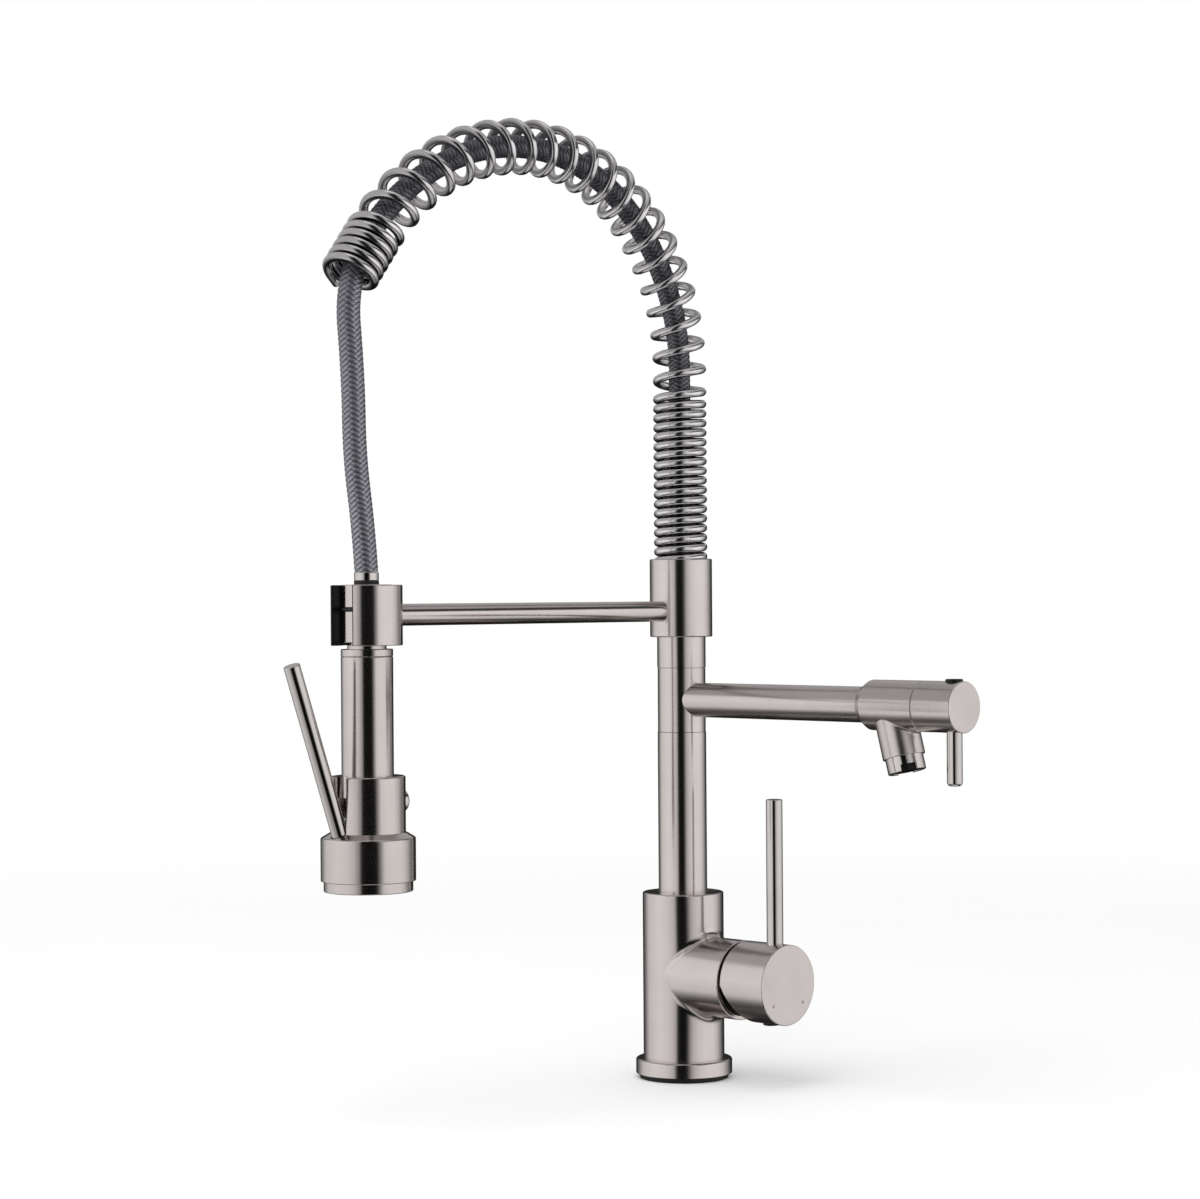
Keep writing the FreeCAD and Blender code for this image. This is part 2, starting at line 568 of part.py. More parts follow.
def handle_cap():
    outer = BRANCH_DIAMETER / 2
    cap = turned([(0, 0), (outer, 0, EDGE), (outer, HANDLE_LENGTH, EDGE), (0, HANDLE_LENGTH)],
                 about_x(HANDLE_BACK, BRANCH_Z), X)
    half = STEM_SQUARE / 2 + SLIP
    lever_x = HANDLE_FACE - LEVER_SETBACK
    screw_x = HANDLE_FACE - SCREW_SETBACK
    crown = outer - math.sqrt(outer ** 2 - (LEVER_DIAMETER / 2) ** 2)
    lever_z = BRANCH_Z + outer - crown
    lever_foot = lever_z - LEVER_THREAD_LENGTH
    screw_z = BRANCH_Z - outer + PLUG_DEPTH
    keep_out = box(V(0, -BODY_DIAMETER, BRANCH_Z - BODY_DIAMETER),
                   V(BRANCH_REACH + TILT_CLEARANCE, BODY_DIAMETER, BRANCH_Z + BODY_DIAMETER))
    keep_out.rotate(MIXER_PIVOT, Y, -MIXER_TILT)
    tools = [
        bar(outer - HANDLE_WALL, about_x(HANDLE_BACK - OVERCUT, BRANCH_Z), about_x(STEM_SEAT, BRANCH_Z)),
        box(V(STEM_SEAT - OVERCUT, -half, BRANCH_Z - half), V(STEM_END, half, BRANCH_Z + half)),
        bar(LEVER_THREAD_DIAMETER / 2 + SLIP, V(lever_x, 0, lever_foot), V(lever_x, 0, lever_z)),
        bar(LEVER_DIAMETER / 2 + SLIP, V(lever_x, 0, lever_z), V(lever_x, 0, lever_z + LEVER_LENGTH)),
        bar(GRUB_DIAMETER / 2 + SLIP, V(screw_x, 0, screw_z), V(screw_x, 0, BRANCH_Z)),
        bar(PLUG_DIAMETER / 2 + SLIP, V(screw_x, 0, screw_z), V(screw_x, 0, screw_z - BRANCH_DIAMETER)),
        keep_out,
    ]
    return cap.cut(tools)


# Column and pot filler hub

def column_tube(foot, top):
    return ring(COLUMN_DIAMETER / 2, COLUMN_BORE / 2, foot, top)


def journal_bush(foot):
    return ring(COLUMN_BORE / 2 - SLIP, JOURNAL_DIAMETER / 2 + SLIP, foot, foot + BUSH_HEIGHT)


def column_bushes():
    return Part.makeCompound([journal_bush(LOWER_TOP - BUSH_HEIGHT), journal_bush(UPPER_FOOT)])


def seal_heights():
    return ARM_Z - SEAL_SPACING / 2, ARM_Z + SEAL_SPACING / 2


def hub_seals():
    middle = JOURNAL_DIAMETER / 2 + SLIP / 2 - SEAL_WIRE / 2
    return Part.makeCompound([Part.makeTorus(middle, SEAL_WIRE / 2, V(0, 0, z)) for z in seal_heights()])


def hub_washers():
    inner = JOURNAL_DIAMETER / 2 + SLIP
    outer = inner + HUB_WASHER_WIDTH
    lower = ring(outer, inner, LOWER_TOP, LOWER_TOP + HUB_WASHER_THICKNESS)
    upper = ring(outer, inner, UPPER_FOOT - HUB_WASHER_THICKNESS, UPPER_FOOT)
    return Part.makeCompound([lower, upper])


def column_spine():
    bore = SPINE_BORE / 2
    pipe = SPINE_DIAMETER / 2
    journal = JOURNAL_DIAMETER / 2
    foot = LOWER_TOP - BUSH_HEIGHT
    top = UPPER_FOOT + BUSH_HEIGHT
    spine = turned([(bore, SPINE_FOOT), (pipe, SPINE_FOOT), (pipe, foot), (journal, foot), (journal, top),
                    (pipe, top), (pipe, SPINE_TOP, EDGE), (bore, SPINE_TOP)])
    floor = journal - SEAL_WIRE
    half = SEAL_WIRE / 2 + SLIP
    grooves = [ring(journal + OVERCUT, floor, z - half, z + half) for z in seal_heights()]
    port = bar(WATERWAY_DIAMETER / 2, V(-JOURNAL_DIAMETER, 0, ARM_Z), V(JOURNAL_DIAMETER, 0, ARM_Z))
    return spine.cut(grooves + [port])


def swivel_hub():
    bore = JOURNAL_DIAMETER / 2 + 2 * SLIP
    hub = ring(HUB_DIAMETER / 2, bore, HUB_FOOT, HUB_TOP)
    seat = JOURNAL_DIAMETER / 2 + SLIP + HUB_WASHER_WIDTH + SLIP
    depth = HUB_WASHER_THICKNESS - TURN_GAP + SLIP
    half = GALLERY_HEIGHT / 2
    tools = [
        bar(seat, V(0, 0, HUB_FOOT - OVERCUT), V(0, 0, HUB_FOOT + depth)),
        bar(seat, V(0, 0, HUB_TOP + OVERCUT), V(0, 0, HUB_TOP - depth)),
        bar(bore + GALLERY_DEPTH, V(0, 0, ARM_Z - half), V(0, 0, ARM_Z + half)),
        bar(WATERWAY_DIAMETER / 2, V(0, 0, ARM_Z), V(HUB_DIAMETER, 0, ARM_Z)),
    ]
    return hub.cut(tools)


# Pot filler

def filler_arm():
    outer = ARM_DIAMETER / 2
    arm = turned([(outer - ARM_WALL, 0), (outer, 0), (outer, ARM_REACH + ARM_SOCKET_DEPTH),
                  (outer - ARM_WALL, ARM_REACH + ARM_SOCKET_DEPTH)], V(0, 0, ARM_Z), X)
    return arm.cut(bar(HUB_DIAMETER / 2, V(0, 0, HUB_FOOT), V(0, 0, HUB_TOP)))


def outlet_point(distance):
    """Point on the tilted outlet's axis, from the arm axis."""
    return OUTLET_START + OUTLET_AXIS * distance


def filler_body():
    radius = FILLER_DIAMETER / 2
    arm = ARM_DIAMETER / 2 + SLIP
    barrel = turned([(0, 0), (arm + FILLER_LIP, 0), (radius, FILLER_CONE), (radius, FILLER_LENGTH, EDGE),
                     (0, FILLER_LENGTH)], V(ARM_REACH, 0, ARM_Z), X)
    spout = bar(OUTLET_DIAMETER / 2, OUTLET_START, outlet_point(OUTLET_LENGTH), EDGE)
    body = barrel.fuse(spout)
    joint = []
    for edge in body.Edges:
        point = edge.valueAt((edge.FirstParameter + edge.LastParameter) / 2)
        off_barrel = abs(math.hypot(point.y, point.z - ARM_Z) - radius)
        off_spout = abs(point.distanceToLine(OUTLET_START, OUTLET_AXIS) - OUTLET_DIAMETER / 2)
        if max(off_barrel, off_spout) < SLIP:
            joint.append(edge)
    body = body.makeFillet(OUTLET_FILLET, joint)
    cartridge = FILLER_CARTRIDGE_RADIUS + SLIP
    thread = AERATOR_RADIUS - AERATOR_THREAD_STEP + SLIP
    thread_top = outlet_point(OUTLET_LENGTH - AERATOR_THREAD_LENGTH)
    tools = [
        bar(arm, V(ARM_REACH - OVERCUT, 0, ARM_Z), V(ARM_REACH + ARM_SOCKET_DEPTH, 0, ARM_Z)),
        bar(WATERWAY_DIAMETER / 2, V(ARM_REACH, 0, ARM_Z), V(FILLER_SEAT + OVERCUT, 0, ARM_Z)),
        bar(cartridge, V(FILLER_SEAT, 0, ARM_Z), V(FILLER_FRONT + OVERCUT, 0, ARM_Z)),
        bar(cartridge + FILLER_NUT_STEP, V(FILLER_NUT_BACK, 0, ARM_Z), V(FILLER_FRONT + OVERCUT, 0, ARM_Z)),
        bar(WATERWAY_DIAMETER / 2, OUTLET_START, outlet_point(OUTLET_LENGTH)),
        bar(thread, thread_top, outlet_point(OUTLET_LENGTH + OVERCUT)),
    ]
    return body.cut(tools)


def filler_cartridge():
    bore = SPINDLE_DIAMETER / 2 + SLIP
    way = WATERWAY_DIAMETER / 2
    housing = bar(FILLER_CARTRIDGE_RADIUS, V(FILLER_SEAT, 0, ARM_Z), V(FILLER_NUT_BACK, 0, ARM_Z))
    seat = (FILLER_SEAT + FILLER_NUT_BACK) / 2
    tools = [bar(bore, V(seat, 0, ARM_Z), V(FILLER_FRONT, 0, ARM_Z)),
             bar(way, V(FILLER_SEAT - OVERCUT, 0, ARM_Z), V(seat, 0, ARM_Z)),
             bar(way, OUTLET_START, outlet_point(OUTLET_LENGTH))]
    return housing.cut(tools)


def filler_nut():
    bore = SPINDLE_DIAMETER / 2 + DOCK_CLEARANCE
    outer = FILLER_CARTRIDGE_RADIUS + FILLER_NUT_STEP
    return turned([(bore, 0), (outer, 0), (outer, FILLER_NUT_THICKNESS), (bore, FILLER_NUT_THICKNESS)],
                  V(FILLER_NUT_BACK, 0, ARM_Z), X)


def aerator_ring():
    thread = AERATOR_RADIUS - AERATOR_THREAD_STEP
    bore = thread - AERATOR_WALL
    seat = AERATOR_RADIUS - AERATOR_WALL
    depth = AERATOR_LENGTH - SCREEN_SETBACK - SCREEN_THICKNESS
    top = -AERATOR_THREAD_LENGTH
    body = turned([(bore, top), (thread, top), (thread, 0), (AERATOR_RADIUS, 0),
                   (AERATOR_RADIUS, AERATOR_LENGTH, EDGE), (seat, AERATOR_LENGTH, EDGE),
                   (seat, depth), (bore, depth)], outlet_point(OUTLET_LENGTH), OUTLET_AXIS)
    half = NOTCH_WIDTH / 2
    far = OUTLET_DIAMETER
    notch = box(V(-half, -far, AERATOR_LENGTH - NOTCH_DEPTH), V(half, far, far))
    hollow = bar(seat, ORIGIN, V(0, 0, OUTLET_DIAMETER))
    notch = notch.cut(hollow)
    turn = FreeCAD.Rotation(Y, 180 - OUTLET_LEAN).multiply(FreeCAD.Rotation(Z, -NOTCH_TURN))
    notch.Placement = FreeCAD.Placement(outlet_point(OUTLET_LENGTH), turn)
    return body.cut(notch)


def aerator_screen():
    radius = AERATOR_RADIUS - AERATOR_WALL - SLIP
    low = OUTLET_LENGTH + AERATOR_LENGTH - SCREEN_SETBACK - SCREEN_THICKNESS
    screen = bar(radius, ORIGIN, V(0, 0, SCREEN_THICKNESS))
    count = int((radius - SCREEN_HOLE) / SCREEN_PITCH)
    half = SCREEN_HOLE / 2
    holes = []
    for row in range(-count, count + 1):
        for column in range(-count, count + 1):
            x = row * SCREEN_PITCH
            y = column * SCREEN_PITCH
            if math.hypot(x, y) < radius - SCREEN_HOLE:
                low_corner = V(x - half, y - half, -OVERCUT)
                holes.append(box(low_corner, V(x + half, y + half, SCREEN_THICKNESS + OVERCUT)))
    screen = screen.cut(holes)
    screen.Placement = FreeCAD.Placement(outlet_point(low), FreeCAD.Rotation(Z, OUTLET_AXIS))
    return screen


def filler_spindle():
    start = (FILLER_SEAT + FILLER_NUT_BACK) / 2 + TURN_GAP
    end = FILLER_CAP_BACK + FILLER_CAP_CAVITY + SPINDLE_SOCKET - SLIP
    return bar(SPINDLE_DIAMETER / 2, V(start, 0, ARM_Z), V(end, 0, ARM_Z))


def filler_crown(radius):
    """How far a flat seat of this radius sits below the top of the round cap."""
    outer = FILLER_DIAMETER / 2
    return outer - math.sqrt(outer ** 2 - radius ** 2)


def filler_lever():
    seat = ARM_Z - FILLER_DIAMETER / 2 + filler_crown(FILLER_LEVER_DIAMETER / 2)
    start = V(FILLER_LEVER_X, 0, seat + FILLER_THREAD_LENGTH)
    thread = FILLER_THREAD_DIAMETER / 2
    outer = FILLER_LEVER_DIAMETER / 2
    length = FILLER_THREAD_LENGTH + filler_crown(outer) + FILLER_LEVER_LENGTH
    return turned([(0, 0), (thread, 0), (thread, FILLER_THREAD_LENGTH), (outer, FILLER_THREAD_LENGTH),
                   (outer, length, outer / 2), (0, length)], start, -Z)


def filler_plug():
    seat = ARM_Z + FILLER_DIAMETER / 2 - FILLER_PLUG_DEPTH
    top = seat + FILLER_PLUG_DEPTH + FILLER_PLUG_PROUD
    return bar(FILLER_PLUG_DIAMETER / 2, V(FILLER_LEVER_X, 0, seat), V(FILLER_LEVER_X, 0, top), EDGE)


def filler_screw():
    foot = ARM_Z + SPINDLE_DIAMETER / 2 + SLIP
    top = ARM_Z + FILLER_DIAMETER / 2 - FILLER_PLUG_DEPTH
    screw_x = FILLER_CAP_BACK + FILLER_CAP_CAVITY + SPINDLE_SOCKET - FILLER_GRUB_DIAMETER
    return bar(FILLER_GRUB_DIAMETER / 2, V(screw_x, 0, foot), V(screw_x, 0, top))


def filler_cap():
    outer = FILLER_DIAMETER / 2
    cap = turned([(0, 0), (outer, 0, EDGE), (outer, FILLER_CAP_LENGTH, EDGE), (0, FILLER_CAP_LENGTH)],
                 V(FILLER_CAP_BACK, 0, ARM_Z), X)
    inside = FILLER_CAP_BACK + FILLER_CAP_CAVITY
    seat = ARM_Z - outer + filler_crown(FILLER_LEVER_DIAMETER / 2)
    lever_x = FILLER_LEVER_X
    plug_seat = ARM_Z + outer - FILLER_PLUG_DEPTH
    screw_x = inside + SPINDLE_SOCKET - FILLER_GRUB_DIAMETER
    thread_top = seat + FILLER_THREAD_LENGTH
    above = plug_seat + FILLER_DIAMETER
    tools = [
        bar(outer - FILLER_WALL, V(FILLER_CAP_BACK - OVERCUT, 0, ARM_Z), V(inside, 0, ARM_Z)),
        bar(SPINDLE_DIAMETER / 2 + SLIP, V(inside - OVERCUT, 0, ARM_Z),
            V(inside + SPINDLE_SOCKET, 0, ARM_Z)),
        bar(FILLER_THREAD_DIAMETER / 2 + SLIP, V(lever_x, 0, seat), V(lever_x, 0, thread_top)),
        bar(FILLER_LEVER_DIAMETER / 2 + SLIP, V(lever_x, 0, seat), V(lever_x, 0, seat - FILLER_DIAMETER)),
        bar(FILLER_PLUG_DIAMETER / 2 + SLIP, V(lever_x, 0, plug_seat), V(lever_x, 0, above)),
        bar(FILLER_GRUB_DIAMETER / 2 + SLIP, V(screw_x, 0, ARM_Z), V(screw_x, 0, above)),
    ]
    return cap.cut(tools)


# Bracket sleeve, rod and dock

def sleeve_bush():
    inner = COLUMN_DIAMETER / 2 + SLIP
    foot = SLEEVE_FOOT + TURN_GAP
    return ring(SLEEVE_BUSH_RADIUS, inner, foot, foot + SLEEVE_BUSH_HEIGHT)


def bracket_rod(clearance=0.0):
    start = V(0, ROD_SEAT - SLEEVE_RADIUS, ROD_Z)
    end = V(0, DOCK_RADIUS - BRACKET_REACH - ROD_SEAT, ROD_Z)
    return bar(ROD_DIAMETER / 2 + clearance, start, end)


def bracket_sleeve():
    bush = SLEEVE_BUSH_RADIUS + SLIP
    hole = SPINE_DIAMETER / 2 + WEB_CLEARANCE
    sleeve = turned([(bush, SLEEVE_FOOT), (SLEEVE_RADIUS, SLEEVE_FOOT, SLEEVE_EDGE),
                     (SLEEVE_RADIUS, SLEEVE_TOP, SLEEVE_EDGE), (SPRING_SOCKET, SLEEVE_TOP),
                     (SPRING_SOCKET, WEB_TOP), (hole, WEB_TOP), (hole, WEB_FOOT), (bush, WEB_FOOT)])
    return sleeve.cut(bracket_rod(SLIP))


def slot_tool(width):
    half = width / 2
    return box(V(-half, -2 * DOCK_RADIUS, DOCK_FOOT - OVERCUT), V(half, 0, DOCK_TOP + OVERCUT))


def hose_holder():
    dock = ring(DOCK_RADIUS, DOCK_BORE, DOCK_FOOT, DOCK_TOP, EDGE)
    dock = dock.cut(slot_tool(SLOT_WIDTH + 2 * LINER_LIP + 2 * SLIP))
    return on_spray(dock).cut(bracket_rod(SLIP))


def holder_liner():
    sleeve = ring(DOCK_BORE - SLIP, LINER_BORE, DOCK_FOOT, DOCK_TOP)
    lips = ring(DOCK_RADIUS - EDGE, LINER_BORE, DOCK_FOOT, DOCK_TOP)
    lips = lips.common(slot_tool(SLOT_WIDTH + 2 * LINER_LIP))
    liner = sleeve.fuse(lips).removeSplitter()
    return on_spray(liner.cut(slot_tool(SLOT_WIDTH)))


# Spring

def spring_axis(distance):
    """Point and angle off vertical of the spring's axis, by distance from the sleeve's web."""
    straight = SLEEVE_TOP + STRAIGHT_RISE - WEB_TOP
    back = BACK_RADIUS * math.pi / 2
    front = FRONT_RADIUS * math.radians(FRONT_TURN)
    base = WEB_TOP + straight
    if distance <= straight:
        return V(0, 0, WEB_TOP + distance), 0.0, 0.0
    if distance <= straight + back:
        angle = (distance - straight) / BACK_RADIUS
        rise = base + BACK_RADIUS * math.sin(angle)
        return V(0, BACK_RADIUS * (math.cos(angle) - 1), rise), angle, 1 / BACK_RADIUS
    past = min(distance - straight - back, front) / FRONT_RADIUS
    drop = FRONT_RADIUS * (1 - math.cos(past))
    top = V(0, -BACK_RADIUS - FRONT_RADIUS * math.sin(past), base + BACK_RADIUS - drop)
    angle = math.pi / 2 + past
    beyond = max(0.0, distance - straight - back - front)
    end = top + V(0, -math.sin(angle), math.cos(angle)) * beyond
    return end, angle, 0.0 if beyond else 1 / FRONT_RADIUS


def spring_pitch(turn):
    """Pitch at a turn, closed at both ends and growing along the open part."""
    closed = WIRE_DIAMETER + COIL_GAP
    total = SLEEVE_TOP + STRAIGHT_RISE - WEB_TOP + BACK_RADIUS * math.pi / 2
    total += FRONT_RADIUS * math.radians(FRONT_TURN) + MOUTH_LENGTH
    room = total - (CLOSED_TURNS + MOUTH_TURNS + RAMP_TURNS) * closed - WIRE_DIAMETER
    mean = room / (OPEN_TURNS - RAMP_TURNS)
    along = turn - CLOSED_TURNS
    ramp = max(0.0, min(1.0, along / RAMP_TURNS, (OPEN_TURNS - along) / RAMP_TURNS))
    pitch = mean + PITCH_GROWTH * (along / OPEN_TURNS - 0.5)
    return closed + (pitch - closed) * ramp


def spring_points():
    """Points and tangents along the wire, two to a turn, with finer points for measuring."""
    fine = 24
    distance = WIRE_RADIUS + COIL_GAP
    ends, samples = [], []
    for step in range(fine * (CLOSED_TURNS + OPEN_TURNS + MOUTH_TURNS) + 1):
        turn = step / fine
        middle, angle, bend = spring_axis(distance)
        out = V(0, math.cos(angle), math.sin(angle))
        along = V(0, -math.sin(angle), math.cos(angle))
        spin = 2 * math.pi * turn + math.radians(WIRE_START)
        point = middle + (X * math.cos(spin) + out * math.sin(spin)) * COIL_RADIUS
        rise = spring_pitch(turn) / (2 * math.pi) * (1 + bend * COIL_RADIUS * math.sin(spin))
        heading = (out * math.cos(spin) - X * math.sin(spin)) * COIL_RADIUS + along * rise
        samples.append(point)
        if step % (fine // 2) == 0:
            ends.append((point, heading.normalize()))
        distance += spring_pitch(turn + 0.5 / fine) / fine
    return ends, samples, fine


def arc_between(start, knee, end):
    """Arc that leaves the start towards the knee and reaches the end from it."""
    chord = (start + end) * 0.5
    lift = knee - chord
    half = start.distanceToPoint(end) / 2
    slope = math.atan2(lift.Length, half)
    return Part.Arc(start, chord + lift.normalize() * (half * math.tan(slope / 2)), end).toShape()


def biarc(start, heading, end, leaving):
    """Two arcs from one point and heading to the next."""
    gap = end - start
    a = 2 * (heading.dot(leaving) - 1)
    b = -2 * gap.dot(heading + leaving)
    c = gap.dot(gap)
    reach = (-b - math.sqrt(b * b - 4 * a * c)) / (2 * a)
    first = start + heading * reach
    last = end - leaving * reach
    joint = (first + last) * 0.5
    return [arc_between(start, first, joint), arc_between(joint, last, end)]


def sweep(edges, radius, start, heading):
    """Round section swept along joined edges."""
    shell = Part.BRepOffsetAPI.MakePipeShell(Part.Wire(edges))
    shell.add(Part.Wire(Part.makeCircle(radius, start, heading)))
    shell.build()
    shell.makeSolid()
    return shell.shape()


def spring():
    ends, samples, fine = spring_points()
    least = min(samples[i].distanceToPoint(samples[j])
                for i in range(len(samples))
                for j in range(i + fine // 2, min(len(samples), i + 2 * fine)))
    print("spring: least gap between turns %.2f mm" % (least - WIRE_DIAMETER))
    first, heading = ends[0]
    last, leaving = ends[-1]
    tail = first - heading * WIRE_DIAMETER
    edges = [Part.makeLine(tail, first)]
    for (start, out), (end, into) in zip(ends, ends[1:]):
        edges += biarc(start, out, end, into)
    edges.append(Part.makeLine(last, last + leaving * WIRE_DIAMETER))
    return sweep(edges, WIRE_RADIUS, tail, heading)


# Hose and its fittings

def hose_edges():
    """Straight runs joined by tangent arcs through the route points."""
    points = [V(0, -reach, height) for reach, height in HOSE_ROUTE]
    edges, radii = [], []
    here = points[0]
    for before, corner, after in zip(points, points[1:], points[2:]):
        back = (before - corner).normalize()
        ahead = (after - corner).normalize()
        reach = ARC_SHARE * min(corner.distanceToPoint(before), corner.distanceToPoint(after))
        start = corner + back * reach
        end = corner + ahead * reach
        radii.append(reach / math.tan((math.pi - back.getAngle(ahead)) / 2))
        edges.append(Part.makeLine(here, start))
        edges.append(arc_between(start, corner, end))
        here = end
    edges.append(Part.makeLine(here, points[-1]))
    return edges, radii


def spray_hose():
    edges, radii = hose_edges()
    foot = edges[0].valueAt(edges[0].FirstParameter)
    outer = sweep(edges, HOSE_DIAMETER / 2, foot, Z)
    hose = outer.cut(sweep(edges, HOSE_BORE / 2, foot, Z))
    length = sum(edge.Length for edge in edges)
    section = math.pi * (HOSE_DIAMETER ** 2 - HOSE_BORE ** 2) / 4
    print("hose: length %.1f mm, bend radii %s" % (length, [round(radius, 1) for radius in radii]))
    print("hose: volume over section times length %.4f" % (hose.Volume / (section * length)))
    return hose


def fitting_radius():
    return COIL_RADIUS - WIRE_RADIUS - FITTING_CLEARANCE


def hose_swivel():
    way = WATERWAY_DIAMETER / 4
    outer = fitting_radius()
    nipple = HOSE_BORE / 2 - SLIP
    top = WEB_TOP + SWIVEL_HEIGHT
    tip = top + NIPPLE_LENGTH
    spine = SPINE_DIAMETER / 2 + SLIP
    roof = SPINE_TOP + TURN_GAP
    return turned([(spine, WEB_TOP), (outer, WEB_TOP), (outer, top, EDGE), (nipple, top),
                   (nipple, tip, EDGE), (way, tip), (way, roof), (spine, roof)])


def lower_ferrule():
    inner = HOSE_DIAMETER / 2 + SLIP
    foot = WEB_TOP + SWIVEL_HEIGHT
    return ring(inner + FERRULE_WALL, inner, foot, foot + LOWER_FERRULE_LENGTH)


def hose_seal():
    outer = HOSE_DIAMETER / 2 + HOSE_SEAL_STEP
    return on_spray(ring(outer, HOSE_BORE / 2, NECK_TOP, NECK_TOP + HOSE_SEAL_THICKNESS))


def hose_ferrule():
    foot = NECK_TOP + HOSE_SEAL_THICKNESS
    outer = HOSE_DIAMETER / 2 + FERRULE_STEP
    return on_spray(ring(outer, HOSE_BORE / 2, foot, foot + FERRULE_LENGTH, EDGE))


# Spray head

def spray_neck():
    bore = HOSE_BORE / 2
    thread = GRIP_DIAMETER / 2 - GRIP_WALL - SLIP
    waist = NECK_WAIST / 2
    plug = NECK_DIAMETER / 2
    foot = GRIP_TOP - NECK_THREAD_LENGTH
    step = DOCK_FOOT + NECK_INSIDE
    neck = turned([(bore, foot), (thread, foot), (thread, GRIP_TOP), (waist, GRIP_TOP), (waist, step),
                   (plug, step, EDGE), (plug, NECK_TOP, EDGE), (bore, NECK_TOP)])
    half = NECK_SEAL_WIRE / 2 + SLIP
    floor = plug + NECK_SEAL_PROUD - NECK_SEAL_WIRE - SLIP
    seal = ROD_Z + NECK_SEAL_RISE
    return on_spray(neck.cut(ring(plug + OVERCUT, floor, seal - half, seal + half)))


def neck_o_ring():
    middle = NECK_DIAMETER / 2 + NECK_SEAL_PROUD - NECK_SEAL_WIRE / 2
    return on_spray(Part.makeTorus(middle, NECK_SEAL_WIRE / 2, V(0, 0, ROD_Z + NECK_SEAL_RISE)))


def grip_tube(foot, top, edge):
    outer = GRIP_DIAMETER / 2
    return on_spray(ring(outer, outer - GRIP_WALL, foot, top, edge))


def water_tube():
    outer = WATER_TUBE_DIAMETER / 2
    foot = GRIP_FOOT - WATER_TUBE_SEAT
    return on_spray(ring(outer, outer - WATER_TUBE_WALL, foot, GRIP_TOP - NECK_THREAD_LENGTH))


def trigger_bar(angle, clearance):
    """Trigger at an angle off vertical, about the spray axis."""
    lean = math.radians(angle)
    along = V(0, -math.sin(lean), math.cos(lean))
    radius = TRIGGER_DIAMETER / 2 + clearance
    half = X * (TRIGGER_DIAMETER / 2 + clearance)
    shaft = bar(radius, TRIGGER_PIVOT, TRIGGER_PIVOT + along * TRIGGER_LENGTH, EDGE)
    eye = bar(radius, TRIGGER_PIVOT - half, TRIGGER_PIVOT + half)
    return shaft.fuse(eye)


def trigger_pin(clearance=0.0):
    radius = TRIGGER_PIN_DIAMETER / 2
    reach = COLLAR_DIAMETER / 2 - TRIGGER_PIN_INSET
    half = X * math.sqrt(reach ** 2 - (TRIGGER_OFFSET + radius) ** 2)
    return bar(radius + clearance, TRIGGER_PIVOT - half, TRIGGER_PIVOT + half)


def trigger_lever():
    return on_spray(trigger_bar(TRIGGER_ANGLE, 0.0).cut(trigger_pin(SLIP)))


def plunger_tip():
    """Front of the resting plunger, just behind the trigger."""
    lean = math.radians(TRIGGER_ANGLE)
    rise = PLUNGER_RISE - TRIGGER_RISE
    low_edge = rise - PLUNGER_DIAMETER / 2
    return TRIGGER_OFFSET + low_edge * math.tan(lean) - TRIGGER_DIAMETER / 2 / math.cos(lean) - PLUNGER_GAP


def valve_plunger():
    z = COLLAR_FOOT + PLUNGER_RISE
    tip = plunger_tip()
    return on_spray(bar(PLUNGER_DIAMETER / 2, V(0, PLUNGER_LENGTH - tip, z), V(0, -tip, z), EDGE))


def mode_button():
    z = COLLAR_FOOT + BUTTON_RISE
    back = COLLAR_DIAMETER / 2 + BUTTON_PROUD - BUTTON_THICKNESS
    stem = BUTTON_STEM_DIAMETER / 2
    head = BUTTON_DIAMETER / 2
    profile = [(0, -BUTTON_STEM_LENGTH), (stem, -BUTTON_STEM_LENGTH), (stem, 0), (head, 0, EDGE / 2),
               (head, BUTTON_THICKNESS, BUTTON_DOME), (0, BUTTON_THICKNESS)]
    return on_spray(turned(profile, V(0, back, z), Y))


def slot_tools():
    """Deep slot for the trigger's foot and shallow groove for its shaft, about the spray axis."""
    half = TRIGGER_SLOT / 2
    deep = TRIGGER_OFFSET - TRIGGER_DIAMETER / 2 - TRIGGER_CLEARANCE
    shallow = GRIP_DIAMETER / 2 + SLIP + GROOVE_WALL
    top = GRIP_FOOT - SLOT_FLOOR
    far = 2 * COLLAR_DIAMETER
    lower = box(V(-half, -far, COLLAR_FOOT - OVERCUT), V(half, -deep, top))
    groove = bar(half, V(0, -shallow - half, top - half), V(0, -shallow - half, COLLAR_TOP + OVERCUT))
    mouth = box(V(-half, -far, top - OVERCUT), V(half, -shallow - half, COLLAR_TOP + OVERCUT))
    return [lower, groove, mouth]


